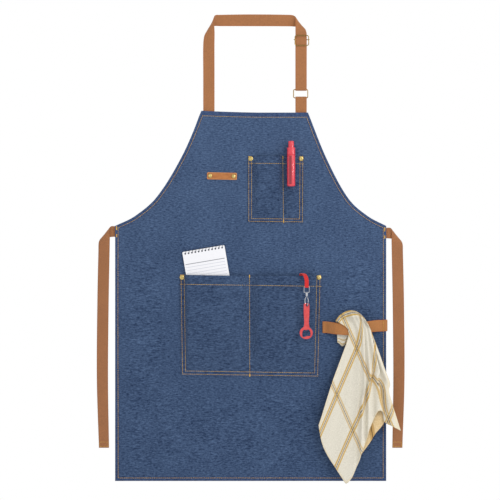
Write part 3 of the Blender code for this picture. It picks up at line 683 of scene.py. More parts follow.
for rivet in ("bib_left", "bib_right", "low_left", "low_right", "tab_left", "tab_right"):
    low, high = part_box(rivet + "_rivet_cap")
    radius = (high.x - low.x) / 2 / MM
    crown = low.y / MM
    seat = crown + 2.0
    dome = (
        (0.0, crown + 0.45), (0.16 * radius, crown + 0.4), (0.3 * radius, crown + 0.05),
        (0.5 * radius, crown + 0.1), (0.66 * radius, crown + 0.45),
        (0.76 * radius, crown + 0.95), (0.84 * radius, crown + 0.9),
        (0.95 * radius, crown + 1.05), (radius, crown + 1.45), (0.97 * radius, seat), (0.0, seat),
    )
    spot = ((low.x + high.x) / 2, 0.0, (low.z + high.z) / 2)
    piece(rivet + "_cap", turned(dome, spot), brass, "root", [rivet + "_rivet_cap"])
    repaint(brass, rivet + "_rivet_burr")


# ---- Leather tab
# A small strip of tan vegetable-tanned leather, riveted on beside the bib pocket. Its cut edges are
# rounded and paler, and it lifts a little between its two rivets.
tab_low, tab_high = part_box("leather_tab")
TAB_W = 67.3
TAB_H = 15.8
TAB_TILT = math.radians(1.2)
TAB_MIDDLE = ((tab_low.x + tab_high.x) / 2 / MM, (tab_low.z + tab_high.z) / 2 / MM)
tab_columns = stops(-TAB_W / 2, TAB_W / 2, 2.2, (0.4, 1.0, 2.0, 3.2))
tab_rows = stops(-TAB_H / 2, TAB_H / 2, 1.6, (0.4, 1.0, 2.0))


def tab_place(u, v):
    """Where a point of the leather lies: rounded corners, a slight lift, and turned a little."""
    corner = 2.6
    over_u = max(0.0, abs(u) - (TAB_W / 2 - corner))
    over_v = max(0.0, abs(v) - (TAB_H / 2 - corner))
    reach = math.hypot(over_u, over_v)
    longest = max(over_u, over_v)
    pull = longest / reach if reach > 0 and over_u > 0 and over_v > 0 else 1.0
    x = math.copysign(min(abs(u), TAB_W / 2 - corner) + over_u * pull, u)
    z = math.copysign(min(abs(v), TAB_H / 2 - corner) + over_v * pull, v)
    y = -1.25 - 0.25 * math.cos(x / 9.0) * (1 - (2 * z / TAB_H) ** 2)
    turned_x = x * math.cos(TAB_TILT) + z * math.sin(TAB_TILT)
    turned_z = z * math.cos(TAB_TILT) - x * math.sin(TAB_TILT)
    return (TAB_MIDDLE[0] + turned_x, y, TAB_MIDDLE[1] + turned_z)


def tab_edge(u, v):
    """Distance from the leather's cut edge, in metres."""
    return min(TAB_W / 2 - abs(u), TAB_H / 2 - abs(v)) * MM


def tab_thick(u, v):
    """Full thickness, pared away at the cut edge."""
    return 1.5 - 0.8 * math.exp(-tab_edge(u, v) / MM / 0.7)


leather = Finish("leather", Specular_IOR_Level=0.4)
pores = leather.noise(0.9 * MM, 6.0)
hide_cloud = leather.noise(9 * MM, 3.0, (0.6, 1.0, 1.4))
rim = leather.spread(leather.trait("edge"), 0.5 * MM, 1.6 * MM, 1.0, 0.0)
hide = leather.mix(leather.spread(hide_cloud, 0.3, 0.7), chart(158, 95, 46), chart(180, 116, 62))
hide = leather.mix(leather.sum("MULTIPLY", rim, 0.6), hide, chart(208, 150, 100))
from_crease = leather.sum("ABSOLUTE", leather.sum("SUBTRACT", leather.trait("edge"), 1.9 * MM))
crease = leather.spread(from_crease, 0.0, 0.4 * MM)
hide_height = leather.sum("ADD", leather.sum("MULTIPLY", pores, 0.5), leather.sum("MULTIPLY", crease, 0.6))
tan_leather = leather.finished(hide, leather.spread(pores, 0.3, 0.7, 0.5, 0.68), hide_height, 0.25 * MM)
tab_shape = closed_sheet(tab_columns, tab_rows, tab_place, tab_thick, {"edge": tab_edge})
piece("tab_leather", tab_shape, tan_leather, "root", ["leather_tab"])


# ---- Neck strap
# Flat tan webbing, one inch wide. It is sewn behind the bib on the left, goes up, folds over behind
# the neck and comes down on the right through a slider to a ring that a short loop holds on the bib.
EDGE_STOPS = (0.0, 0.03, 0.09, 0.2, 0.35, 0.5, 0.65, 0.8, 0.91, 0.97, 1.0)
WEB_W = 25.4
WEB_T = 1.6
SEWN_Y = CLOTH + HEM_T + GAP + WEB_T / 2


def webbing_at(edges, pitch=3.5):
    """Smooths a list of (outer, inner) edge points, and says how far along each stop is."""
    joined = [(*outer, *inner) for outer, inner in edges]
    stations = through(joined, pitch * math.sqrt(2))
    distance = [0.0]
    for before, after in zip(stations, stations[1:]):
        distance.append(distance[-1] + (after - before).length / math.sqrt(2))
    return stations, distance


def webbing_shape(edges, thick=WEB_T, pitch=3.5):
    """A flat woven strap between two edges, with softly rounded selvedges."""
    stations, distance = webbing_at(edges, pitch)
    rows = list(range(len(stations)))

    def place(u, v):
        """A point this share of the way across the strap, at one of its stops."""
        spot = stations[v]
        return tuple(spot[k] * (1 - u) + spot[k + 3] * u for k in range(3))

    def plump(u, v):
        """Full thickness, thinner at the selvedges."""
        return thick * (1 - 0.62 * math.exp(-min(u, 1 - u) / 0.035))

    traits = {"across": lambda u, v: u, "along": lambda u, v: distance[v] * MM}
    return closed_sheet(EDGE_STOPS, rows, place, plump, traits), distance[-1]


def webbing(name, body_colour, edge_colour, wide=WEB_W):
    """Cotton webbing: cross ribs between fine lengthwise rows, a firm selvedge, and slight fading."""
    finish = Finish(name, Sheen_Weight=0.2, Specular_IOR_Level=0.25)
    across = finish.trait("across")
    along = finish.trait("along")
    rows = finish.ribs(across, 1.5 / wide)
    ribs = finish.ribs(along, 1.35 * MM)
    weave = finish.sum("MULTIPLY", rows, ribs)
    fluff = finish.noise(2.4 * MM, 4.0)
    fade = finish.noise(60 * MM, 2.0)
    middle = finish.sum("ABSOLUTE", finish.sum("SUBTRACT", across, 0.5))
    selvedge = finish.spread(middle, 0.43, 0.47)
    tone = finish.sum("ADD", finish.sum("MULTIPLY", weave, 0.35), finish.sum("MULTIPLY", fluff, 0.65))
    low = chart(*[0.86 * value for value in body_colour])
    high = chart(*[1.12 * value for value in body_colour])
    colour = finish.mix(finish.spread(tone, 0.2, 0.75), low, high)
    faded = chart(*[1.1 * value for value in body_colour])
    colour = finish.mix(finish.spread(fade, 0.4, 0.8, 0.0, 0.35), colour, faded)
    colour = finish.mix(finish.sum("MULTIPLY", selvedge, 0.75), colour, chart(*edge_colour))
    height = finish.sum("ADD", weave, finish.sum("MULTIPLY", selvedge, 0.6))
    return finish.finished(colour, finish.spread(fluff, 0.3, 0.7, 0.75, 0.9), height, 0.3 * MM)


tan = webbing("tan_webbing", (162, 108, 68), (170, 101, 50))
ring_low, ring_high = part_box("strap_ring")
STRAP_LEFT, STRAP_RIGHT = (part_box("ring_tab")[side].x / MM for side in (0, 1))
WIRE = 2.2
WRAP = WIRE / 2 + GAP + WEB_T / 2
RUN_Y = 2.65
RING_Y = RUN_Y + WRAP
RING_TOP = ring_high.z / MM - WIRE / 2
RING_FOOT = ring_low.z / MM + WIRE / 2
BAR_Y = RUN_Y + 1.5 * WEB_T + 2 * GAP + WIRE / 2
BAR_Z = -31.3
BACK = RING_Y + WRAP


def level(places):
    """Strap edges at the same height and depth on both sides, on the ring's line."""
    return [((STRAP_RIGHT, y, z), (STRAP_LEFT, y, z)) for y, z in places]


def round_bar(y, z, start, end):
    """Strap middles round a bar, as (y, z), between two angles from straight back."""
    turns = [math.radians(start + (end - start) * k / 8) for k in range(9)]
    return [(y + WRAP * math.cos(turn), z + WRAP * math.sin(turn)) for turn in turns]


OUTER = -106.8
INNER = OUTER + WEB_W
neck_edges = [
    ((OUTER, SEWN_Y, -216.0), (INNER, SEWN_Y, -216.0)),
    ((OUTER, SEWN_Y, -190.0), (INNER, SEWN_Y, -190.0)),
    ((OUTER, 3.0, -110.0), (INNER, 3.0, -110.0)),
    ((OUTER, 1.0, -44.0), (INNER, 1.0, -40.0)),
    ((-104.5, 0.6, -24.0), (-81.1, 0.0, -17.0)),
    ((-98.5, 3.5, -12.0), (-82.0, 0.0, 2.0)),
    ((-92.0, 8.5, -3.0), (-82.5, 3.0, 16.0)),
    ((-83.0, 12.0, 0.0), (-80.0, 9.0, 24.0)),
    ((-70.0, 13.0, 0.0), (-70.0, 13.0, 25.4)),
    ((0.0, 14.0, 0.0), (0.0, 14.0, 26.5)),
    ((88.0, 13.0, -0.5), (88.0, 13.0, 25.4)),
    ((104.0, 12.0, -1.5), (97.0, 10.0, 23.5)),
    ((116.0, 9.0, -3.0), (101.0, 6.0, 19.0)),
    ((123.0, 5.0, -8.0), (STRAP_LEFT, 3.4, 10.0)),
    ((125.5, 3.0, -15.0), (STRAP_LEFT, RUN_Y, -6.0)),
    ((STRAP_RIGHT, RUN_Y, -20.0), (STRAP_LEFT, RUN_Y, -18.0)),
]
round_ring = round_bar(RING_Y, RING_TOP, 180, 360)
neck_edges += level([(RUN_Y, RING_TOP + 40.0), *round_ring, (BACK, RING_TOP + 6.0)])
neck_shape, neck_length = webbing_shape(neck_edges)
neck = piece("neck_webbing", neck_shape, tan, "root", ["neck_strap"])

return_start = RING_TOP + 6.0 + GAP
return_edges = level([(BACK, return_start), (BACK, return_start + 8.0), (BAR_Y + WRAP, BAR_Z - 9.0)])
return_shape, return_length = webbing_shape(return_edges)
back_run = piece("return_webbing", return_shape, tan, "root", ["strap_return"])
slide = next(joint for joint in frame["joints"] if joint["name"] == "slider_slide")
travel = abs(min(slide["range_m"]))
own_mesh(back_run)

end_route = [(BAR_Y + WRAP, BAR_Z - 9.0 + GAP), *round_bar(BAR_Y, BAR_Z, 0, 180)]
end_route += [(BAR_Y - 1.5, BAR_Z - 6.0), (BAR_Y, BAR_Z - 13.0)]
end_shape, end_length = webbing_shape(level(end_route), pitch=1.5)
strap_end = piece("end_webbing", end_shape, tan, "slider", ["strap_end_loop"])

second = SEWN_Y + WEB_T + GAP
tab_route = [(SEWN_Y, -216.0), (SEWN_Y, -194.0), (RING_Y - WRAP, -172.0)]
tab_route += round_bar(RING_Y, RING_FOOT, 180, 0)
tab_route += [(RING_Y + WRAP, -172.0), (second, -194.0), (second, -216.0)]
ring_shape, ring_length = webbing_shape(level(tab_route), pitch=2.0)
ring_strap = piece("ring_webbing", ring_shape, tan, "root", ["ring_tab"])

repaint(buckle_brass, "slider_frame", "slider_bar", "strap_ring")


def tie_face(x, z):
    """The face of a tie's turned end, which hangs level."""
    return 0.75


def make_tie(name, side, top):
    """One tie, from its root behind the hem to its stitched end. side is -1 on the left, 1 on the right."""
    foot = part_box(name + "_tie")[0].z / MM
    places = [
        # The outer edge's x, y and z, then the inner edge's.
        (288.0, SEWN_Y, top, 288.0, SEWN_Y, top - 24.0),
        (300.0, SEWN_Y, top, 300.0, SEWN_Y, top - 24.0),
        (306.3, SEWN_Y, top, 306.3, SEWN_Y, top - 24.0),
        (313.0, SEWN_Y + 0.6, top, 320.0, SEWN_Y + 0.8, top - 25.0),
        (315.8, SEWN_Y, top - 1.5, 333.0, SEWN_Y + 1.2, top - 27.0),
        (316.8, 2.6, top - 5.0, 340.0, 4.6, top - 31.5),
        (317.0, 1.6, top - 12.0, 342.3, 2.6, top - 39.0),
        (317.0, 1.0, top - 30.0, 342.6, 1.2, top - 52.0),
        (319.5, 1.0, -618.0, 345.0, 1.0, -618.0),
        (321.0, 1.4, -798.0, 346.2, 1.4, -798.0),
        (318.8, 1.6, foot, 341.5, 1.6, foot),
    ]
    edges = [((side * a, b, c), (side * d, e, f)) for a, b, c, d, e, f in places]
    shape, length = webbing_shape(edges)
    tie = piece(name + "_tie_webbing", shape, tie_tan_painted_shade, None, [name + "_tie", name + "_tie_root"])
    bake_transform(tie)
    seam = bmesh.new()
    for rise in (3.0, 13.0):
        sew(seam, ((side * 320.5, foot + rise), (side * 340.0, foot + rise)), tie_face, 3.2, 2.5)
    for x in (321.0, 339.5):
        sew(seam, ((side * x, foot + 3.0), (side * x, foot + 13.0)), tie_face, 3.2, 2.5)
    piece(name + "_tie_stitching", seam, tan_thread, name + "_tie")


# Painted shade: the ties get the strap's tan webbing made darker, standing in for the shade lower down the
# apron.
tie_tan_painted_shade = webbing("tie_webbing", (153, 102, 66), (148, 91, 52))
make_tie("left", -1, -451.5)
make_tie("right", 1, -455.0)


# ---- Towel loop
# A band of the same webbing beside the low pocket. One end is caught in the pocket's seam, the
# other is wrapped round the panel's edge and sewn down, and it stands off where the towel passes.
LOOP_TOP = -666.0
flush = -GAP - WEB_T / 2
loop_places = (
    (161.5, flush, 0.0), (170.0, flush - 0.8, 0.0), (180.0, -8.0, -1.0), (191.0, -12.8, -2.5),
    (215.0, -14.2, -4.0), (240.0, -14.2, -3.0), (262.0, -12.5, 0.5), (280.0, -7.0, 3.0),
    (295.0, flush - 0.8, 3.5), (HALF - 0.5, flush - 0.2, 4.0), (HALF + 1.6, -0.4, 4.0),
    (HALF + 2.2, 1.4, 4.0), (HALF + 1.6, 3.2, 4.0), (HALF - 1.0, SEWN_Y, 4.0), (HALF - 18.0, SEWN_Y, 4.0),
)
loop_edges = [((x, y, LOOP_TOP + lift), (x, y, LOOP_TOP + lift - 26.0)) for x, y, lift in loop_places]
loop_shape, loop_length = webbing_shape(loop_edges, pitch=2.5)
loop_tan = webbing("loop_webbing", (166, 111, 64), (172, 102, 50))
loop = piece("loop_webbing_band", loop_shape, loop_tan, "root", ["towel_loop"])
loop_seam = bmesh.new()
loop_row = ((299.0, LOOP_TOP + 2.0), (299.0, LOOP_TOP - 20.5))
sew(loop_seam, loop_row, lambda x, z: flush - 1.6, 3.0, 2.4)
piece("loop_stitching", loop_seam, tan_thread, "root")


# ---- Towel
# A thin square cotton towel, cream with gold windowpane lines, pushed up behind the loop and folded
# over it on the bias. It falls in deep soft pleats to two corners, with a short tail behind.
ARCH = (
    (191.0, -664.0), (197.0, -655.0), (205.0, -648.0), (215.0, -642.8), (225.3, -640.8), (236.0, -642.8),
    (246.0, -648.5), (254.0, -657.0), (261.3, -667.4),
)
LEFT_FALL = (
    (191.0, -664.0), (201.0, -669.8), (209.1, -674.6), (215.9, -680.0), (218.6, -685.4), (219.5, -693.5),
    (218.1, -703.4), (201.5, -749.0), (183.3, -797.9), (170.5, -838.0), (158.7, -876.6), (151.8, -897.3),
)
RIGHT_FALL = (
    (261.3, -667.4), (271.2, -691.0), (285.6, -729.7), (303.0, -779.9), (311.5, -804.6), (308.5, -818.1),
    (316.9, -849.6), (327.0, -882.0), (336.0, -909.9),
)
HEM_LINE = (
    (151.8, -897.3), (155.6, -920.9), (161.2, -943.0), (172.0, -966.0), (185.7, -987.3), (205.0, -1017.0),
    (213.6, -1028.0), (226.7, -1013.9), (236.1, -991.4), (244.0, -971.1), (248.6, -959.0), (259.0, -926.0),
    (269.0, -898.0), (284.0, -866.0), (292.0, -864.5), (299.0, -872.0), (299.0, -890.0), (314.0, -898.0),
    (336.0, -909.9),
)


def measured(points):
    """A smooth route through the points, with the distance along it at each stop."""
    route = through(points, 4.0)
    distance = [0.0]
    for before, after in zip(route, route[1:]):
        distance.append(distance[-1] + (after - before).length)
    return route, [value / distance[-1] for value in distance]


def part_way(line, share):
    """The point this share of the way along a measured route."""
    route, distance = line
    for k in range(1, len(route)):
        if share <= distance[k]:
            step = (share - distance[k - 1]) / (distance[k] - distance[k - 1])
            return route[k - 1] + (route[k] - route[k - 1]) * step
    return route[-1]


arch, left_fall, right_fall, hem_line = (measured(line) for line in (ARCH, LEFT_FALL, RIGHT_FALL, HEM_LINE))
corners = [[arch[0][0], arch[0][-1]], [hem_line[0][0], hem_line[0][-1]]]


def towel_outline(u, v):
    """Where the front of the towel falls: between its arch, its two sides and its hem."""
    across = part_way(arch, u) * (1 - v) + part_way(hem_line, u) * v
    down = part_way(left_fall, v) * (1 - u) + part_way(right_fall, v) * u
    square = (corners[0][0] * (1 - u) + corners[0][1] * u) * (1 - v)
    square += (corners[1][0] * (1 - u) + corners[1][1] * u) * v
    return across + down - square


def pleat(u, v):
    """Soft folds that fan out from the loop: 0 in a valley and 1 on a ridge."""
    drift = u + 0.03 * math.sin(5.0 * v + 1.2)
    broad = 0.5 + 0.5 * math.cos(2 * math.pi * (1.2 * drift - 0.66))
    narrow = 0.5 + 0.5 * math.cos(2 * math.pi * (7.4 * drift + 0.12 * v - 0.1))
    busy = ease((u - 0.4) / 0.16)
    return 0.5 * broad + (0.06 + 0.56 * busy) * narrow**1.3


def towel_place(u, v):
    """Where the towel lies: the short tail behind the loop for v below 0, and the front fall above."""
    if v < 0:
        t = -v
        crest = part_way(arch, u)
        drop = ease(min(1.0, t / 0.25))
        gather = ease(t)
        x = crest.x * (1 - gather) + (195.0 + 22.0 * u) * gather
        tail = -716.0 + 4.0 * math.cos(6.0 * u)
        z = crest.y - 1.5 * drop + (tail - crest.y) * max(0.0, t - 0.08) / 0.92
        return (x, -14.5 + 8.0 * drop + 0.9 * math.sin(7.0 * u), z)
    spot = towel_outline(u, v)
    roll = ease(min(1.0, v / 0.03))
    brow = math.exp(-((v - 0.035) / 0.03) ** 2) * (1 - 0.5 * u)
    swell = 3.0 + 12.0 * ease(v / 0.6)
    rise = 4.5 * ease((v - 0.05) / 0.3) + 5.0 * ease((u - 0.3) / 0.12) * (1 - v)
    hollow = ease(v / 0.05) * (1 - ease((v - 0.12) / 0.16)) * (1 - ease((u - 0.3) / 0.14))
    out = 3.0 + 13.0 * brow + swell * pleat(u, v) + rise
    y = -14.5 - roll * (out * (1 - 0.95 * hollow) - 1.0)
    sway = 2.0 * ease(v / 0.4) * math.sin(2 * math.pi * 7.4 * u + 4.0 * v) * ease((u - 0.4) / 0.16) * (1 - u)
    return (spot.x + sway, min(y, -16.6) if v > 0.03 else y, spot.y)


def pane_a(u, v):
    """Position across the lines that fall to the left. The gathered right half turns them upright."""
    x, y, z = towel_place(u, v)
    gathered = ease((u - 0.45) / 0.5)
    climb = min(1.0, max(0.0, (z + 906.0) / 230.0))
    turned = 52.0 * climb**2 * gathered + 10.0 * ease((z + 721.0) / 54.0) * (1 - gathered)
    return (x - 0.43 * z + turned + 0.16 * (y + 22.0)) * MM


def pane_b(u, v):
    """Position across the lines that fall to the right, which kink at the fold on that side."""
    x, y, z = towel_place(u, v)
    kink = -20.0 * math.exp(-((z + 805.0) / 40.0) ** 2) * ease((u - 0.66) / 0.3)
    return (x + 0.45 * z + kink - 0.12 * (y + 22.0)) * MM


def towel_hem(u, v):
    """About how far a point is from the towel's own edge, in metres."""
    return min(u * 180.0, (1 - u) * 180.0, (1 - v) * 290.0, (1 + v) * 70.0 if v < 0 else 99.0) * MM


towel_columns = [k / 110 for k in range(111)]
towel_rows = [-1 + k / 16 for k in range(13)] + [-0.22, -0.18, -0.14, -0.1, -0.07, -0.04, -0.02]
towel_rows += [0.0, 0.006, 0.012, 0.018, 0.025, 0.032, 0.04, 0.05]
towel_rows += [0.06 + 0.94 * k / 110 for k in range(111)]

cotton = Finish("towel_cotton", Sheen_Weight=0.15, Specular_IOR_Level=0.2)
lane_a = cotton.trait("pane_a")
lane_b = cotton.trait("pane_b")
crest = cotton.trait("crest")


def stripe(value, centre, other):
    """A pair of gold bands with a thin dashed brown line between them: (gold share, brown share)."""
    off = cotton.sum("ABSOLUTE", cotton.sum("SUBTRACT", value, centre * MM))
    inner = cotton.spread(off, 1.7 * MM, 2.5 * MM)
    outer = cotton.spread(off, 5.0 * MM, 6.0 * MM, 1.0, 0.0)
    dashes = cotton.spread(cotton.ribs(other, 5.0 * MM), 0.1, 0.35, 0.75, 1.0)
    line = cotton.sum("MULTIPLY", cotton.spread(off, 0.6 * MM, 1.2 * MM, 0.9, 0.0), dashes)
    return cotton.sum("MULTIPLY", inner, outer), line


gold, brown = stripe(lane_a, 549.5, lane_b)
for value, centre, other, strength in (
    (lane_a, 617.5, lane_b, 1.0),
    (lane_a, 688.0, lane_b, 0.85),
    (lane_b, -89.0, lane_a, 0.85),
    (lane_b, -180.0, lane_a, 0.7),
    (crest, 5.0, lane_a, 1.0),
    (crest, -252.0, lane_a, 1.0),
    (crest, -283.0, lane_a, 1.0),
):
    more_gold, more_brown = stripe(value, centre, other)
    more_gold = cotton.sum("MULTIPLY", more_gold, strength)
    gold = cotton.sum("MAXIMUM", gold, more_gold)
    brown = cotton.sum("MAXIMUM", brown, more_brown)
slubs = cotton.noise(2.0 * MM, 4.0)
weft = cotton.sum("MULTIPLY", cotton.ribs(lane_a, 1.1 * MM), cotton.ribs(lane_b, 1.1 * MM))
ground_tone = cotton.mix(cotton.spread(slubs, 0.3, 0.7), chart(206, 200, 184), chart(226, 221, 207))
selvage = cotton.spread(cotton.trait("hem"), 4.0 * MM, 4.8 * MM, 1.0, 0.0)
ground_tone = cotton.mix(cotton.sum("MULTIPLY", selvage, 0.35), ground_tone, chart(226, 206, 160))
gold_tone = cotton.mix(cotton.spread(slubs, 0.3, 0.7), chart(180, 140, 50), chart(206, 168, 84))
towel_colour = cotton.mix(cotton.sum("MULTIPLY", gold, 0.9), ground_tone, gold_tone)
towel_colour = cotton.mix(cotton.sum("MULTIPLY", brown, 0.95), towel_colour, chart(88, 68, 38))
stitched_hem = cotton.sum("ABSOLUTE", cotton.sum("SUBTRACT", cotton.trait("hem"), 4.4 * MM))
towel_height = cotton.sum("ADD", weft, cotton.spread(stitched_hem, 0.0, 0.8 * MM))
towel_rough = cotton.spread(slubs, 0.3, 0.7, 0.85, 0.95)
towel_cloth = cotton.finished(towel_colour, towel_rough, towel_height, 0.25 * MM)
towel_shape = closed_sheet(
    towel_columns, towel_rows, towel_place, 0.8,
    {"pane_a": pane_a, "pane_b": pane_b, "crest": lambda u, v: v * 300 * MM, "hem": towel_hem},
)
towel = piece("towel_cloth", towel_shape, towel_cloth, "towel", ["towel"])


# The underside of the towel's right corner, turned forward below the hem.
flap_inner = measured(((242.0, -962.0), (252.0, -926.0), (262.0, -896.0), (278.0, -860.0), (292.0, -858.0)))
flap_outer = measured(((248.6, -962.5), (267.6, -936.7), (280.2, -916.2), (298.5, -893.0), (301.0, -866.0)))


def under_place(u, v):
    """Where the turned corner lies, between its inner and outer edges."""
    spot = part_way(flap_inner, u) * (1 - v) + part_way(flap_outer, u) * v
    return (spot.x, -14.6 - 1.2 * math.sin(3.0 * u) - 1.0 * math.sin(3.1 * v), spot.y)


cotton_back = Finish("towel_reverse", Sheen_Weight=0.15, Specular_IOR_Level=0.2)
nap = cotton_back.noise(2.0 * MM, 4.0)
back_tone = cotton_back.mix(cotton_back.spread(nap, 0.3, 0.7), chart(204, 176, 128), chart(224, 200, 158))
flap_band = cotton_back.sum("ABSOLUTE", cotton_back.sum("SUBTRACT", cotton_back.trait("reach"), 0.52))
flap_gold = cotton_back.spread(flap_band, 0.07, 0.1, 1.0, 0.0)
flap_line = cotton_back.spread(flap_band, 0.012, 0.02, 1.0, 0.0)
back_tone = cotton_back.mix(cotton_back.sum("MULTIPLY", flap_gold, 0.7), back_tone, chart(176, 132, 60))
back_tone = cotton_back.mix(cotton_back.sum("MULTIPLY", flap_line, 0.8), back_tone, chart(92, 70, 40))
back_cloth = cotton_back.finished(back_tone, cotton_back.spread(nap, 0.3, 0.7, 0.85, 0.95), nap, 0.2 * MM)
flap_stops = [k / 24 for k in range(25)]
flap_reach = {"reach": lambda u, v: u + 0.25 * v - 0.12}
under_shape = closed_sheet(flap_stops, flap_stops, under_place, 0.8, flap_reach)
piece("towel_underfold", under_shape, back_cloth, "towel")


# ---- Notepad
# A spiral reporter's pad leaning left in the low pocket: ruled white pages on a grey card, with a
# row of punched holes and a dark coated wire through them over the top edge.
PAD_TILT = math.radians(9.6)
PAD_CORNER = (-153.8, -510.0)
UP_PAD = (-math.sin(PAD_TILT), 0.0, math.cos(PAD_TILT))
RIGHT_PAD = (math.cos(PAD_TILT), 0.0, math.sin(PAD_TILT))
PAD_TOP = (PAD_CORNER[0] * UP_PAD[0] + PAD_CORNER[1] * UP_PAD[2]) * MM
PAD_LEFT = (PAD_CORNER[0] * RIGHT_PAD[0] + PAD_CORNER[1] * RIGHT_PAD[2]) * MM
paper = Finish("ruled_paper", Specular_IOR_Level=0.3)
down = paper.sum("SUBTRACT", PAD_TOP, paper.reach(UP_PAD))
inward = paper.sum("SUBTRACT", paper.reach(RIGHT_PAD), PAD_LEFT)
fibre = paper.noise(1.5 * MM, 5.0)
lower = paper.spread(down, 28.0 * MM, 28.4 * MM)
off_rule = paper.sum("PINGPONG", paper.sum("SUBTRACT", down, 29.2 * MM), 3.5 * MM)
rule = paper.sum("MULTIPLY", paper.spread(off_rule, 0.25 * MM, 0.6 * MM, 1.0, 0.0), lower)
head = paper.sum("ABSOLUTE", paper.sum("SUBTRACT", down, 29.2 * MM))
head = paper.spread(head, 0.6 * MM, 1.0 * MM, 1.0, 0.0)
past_left = paper.spread(inward, 2.4 * MM, 3.0 * MM)
before_right = paper.spread(inward, 91.0 * MM, 92.0 * MM, 1.0, 0.0)
printed = paper.sum("MULTIPLY", past_left, before_right)
page = paper.mix(paper.spread(fibre, 0.3, 0.7), chart(224, 224, 227), chart(233, 233, 236))
page = paper.mix(paper.sum("MULTIPLY", printed, 0.25), page, chart(226, 226, 232))
for line, strength, line_ink in ((rule, 0.8, chart(168, 172, 186)), (head, 0.9, chart(118, 120, 128))):
    shown = paper.sum("MULTIPLY", paper.sum("MULTIPLY", line, printed), strength)
    page = paper.mix(shown, page, line_ink)
leaves = paper.ribs(paper.reach((0.0, 1.0, 0.0)), 0.12 * MM)
page_finish = paper.finished(page, paper.spread(fibre, 0.3, 0.7, 0.6, 0.75), leaves, 0.02 * MM)
repaint(page_finish, "notepad_pages")

board = Finish("grey_card")
pulp = board.noise(1.2 * MM, 6.0)
board_tone = board.mix(board.spread(pulp, 0.3, 0.7), chart(150, 148, 144), chart(182, 180, 174))
repaint(board.finished(board_tone, board.spread(pulp, 0.3, 0.7, 0.75, 0.9), pulp, 0.05 * MM), "notepad_card")

bright = Finish("steel", Metallic=1.0)
drawn = bright.noise(0.6 * MM, 4.0, (1.0, 1.0, 0.2))
steel_tone = bright.mix(bright.spread(drawn, 0.3, 0.7), chart(176, 178, 184), chart(214, 216, 220))
steel = bright.finished(steel_tone, bright.spread(drawn, 0.3, 0.7, 0.22, 0.4), drawn, 0.02 * MM)
blacked = Finish("coated_wire", Metallic=0.6)
coat_marks = blacked.noise(0.7 * MM, 3.0)
coat_tone = blacked.mix(blacked.spread(coat_marks, 0.3, 0.7), chart(44, 48, 58), chart(82, 86, 96))
coat_gloss = blacked.spread(coat_marks, 0.3, 0.7, 0.35, 0.5)
repaint(blacked.finished(coat_tone, coat_gloss, coat_marks, 0.02 * MM), "notepad_coil")
repaint(steel, "swivel_eye", "swivel_collar", "hook_stem", "hook_bow", "hook_gate", "pen_clip")


# ---- Marker pen
# A stubby red marker clipped in the bib pocket: a glossy barrel with a dark reflection stripe painted
# down its front, a cap with a push button on top, and a steel clip behind it that goes down inside the
# pocket.
def lathe(profile, spot, segments=48):
    """A solid of revolution about an upright line, from (radius, z) points in millimetres."""
    shape = bmesh.new()
    verts = [shape.verts.new((radius * MM, 0.0, z * MM)) for radius, z in profile]
    edges = [shape.edges.new(pair) for pair in zip(verts, verts[1:])]
    bmesh.ops.spin(
        shape, geom=verts + edges, cent=(0.0, 0.0, 0.0), axis=(0.0, 0.0, 1.0), dvec=(0.0, 0.0, 0.0),
        angle=2 * math.pi, steps=segments, use_merge=True,
    )
    bmesh.ops.remove_doubles(shape, verts=shape.verts, dist=1e-6)
    bmesh.ops.translate(shape, verts=shape.verts, vec=(spot[0], spot[1], 0.0))
    return shape


def rounded_rod(low, high, radius, low_round, high_round):
    """The outline of a rod with a rounded edge at each end, from its foot to its top."""
    turns = [math.pi / 2 * k / 5 for k in range(6)]
    foot = [(radius - low_round * (1 - math.sin(t)), low + low_round * (1 - math.cos(t))) for t in turns]
    top = [(radius - high_round * (1 - math.cos(t)), high - high_round * (1 - math.sin(t))) for t in turns]
    return [(0.0, low), *foot, *top, (0.0, high)]


gloss = Finish("red_plastic", Coat_Weight=0.4, Coat_Roughness=0.06)
haze = gloss.noise(5 * MM, 3.0)
fine = gloss.noise(0.4 * MM, 4.0)
red_tone = gloss.mix(gloss.spread(haze, 0.3, 0.7), chart(200, 40, 56), chart(216, 60, 74))
pen_low, pen_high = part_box("pen_body")
pen_middle = (pen_low.x + pen_high.x) / 2
# Painted reflection: a soft dark stripe down the barrel's front, left of centre, stands in for a dark
# reflection in the gloss.
aside = gloss.sum("SUBTRACT", gloss.reach((1.0, 0.0, 0.0)), pen_middle - 1.9 * MM)
painted_reflection_stripe = gloss.spread(gloss.sum("ABSOLUTE", aside), 1.8 * MM, 4.6 * MM, 1.0, 0.0)
pen_axis = (pen_low.y + pen_high.y) / 2
facing = gloss.spread(gloss.reach((0.0, 1.0, 0.0)), pen_axis - 1.8 * MM, pen_axis - 0.8 * MM, 1.0, 0.0)
height_up = gloss.reach((0.0, 0.0, 1.0))
above_foot = gloss.spread(height_up, pen_low.z + 4 * MM, pen_low.z + 5 * MM)
below_cap = gloss.spread(height_up, pen_high.z - 2 * MM, pen_high.z - 1 * MM, 1.0, 0.0)
for limit in (facing, above_foot, below_cap):
    painted_reflection_stripe = gloss.sum("MULTIPLY", painted_reflection_stripe, limit)
red_tone = gloss.mix(gloss.sum("MULTIPLY", painted_reflection_stripe, 0.9), red_tone, chart(128, 14, 36))
red_plastic = gloss.finished(red_tone, gloss.spread(fine, 0.3, 0.7, 0.2, 0.32), fine, 0.01 * MM)
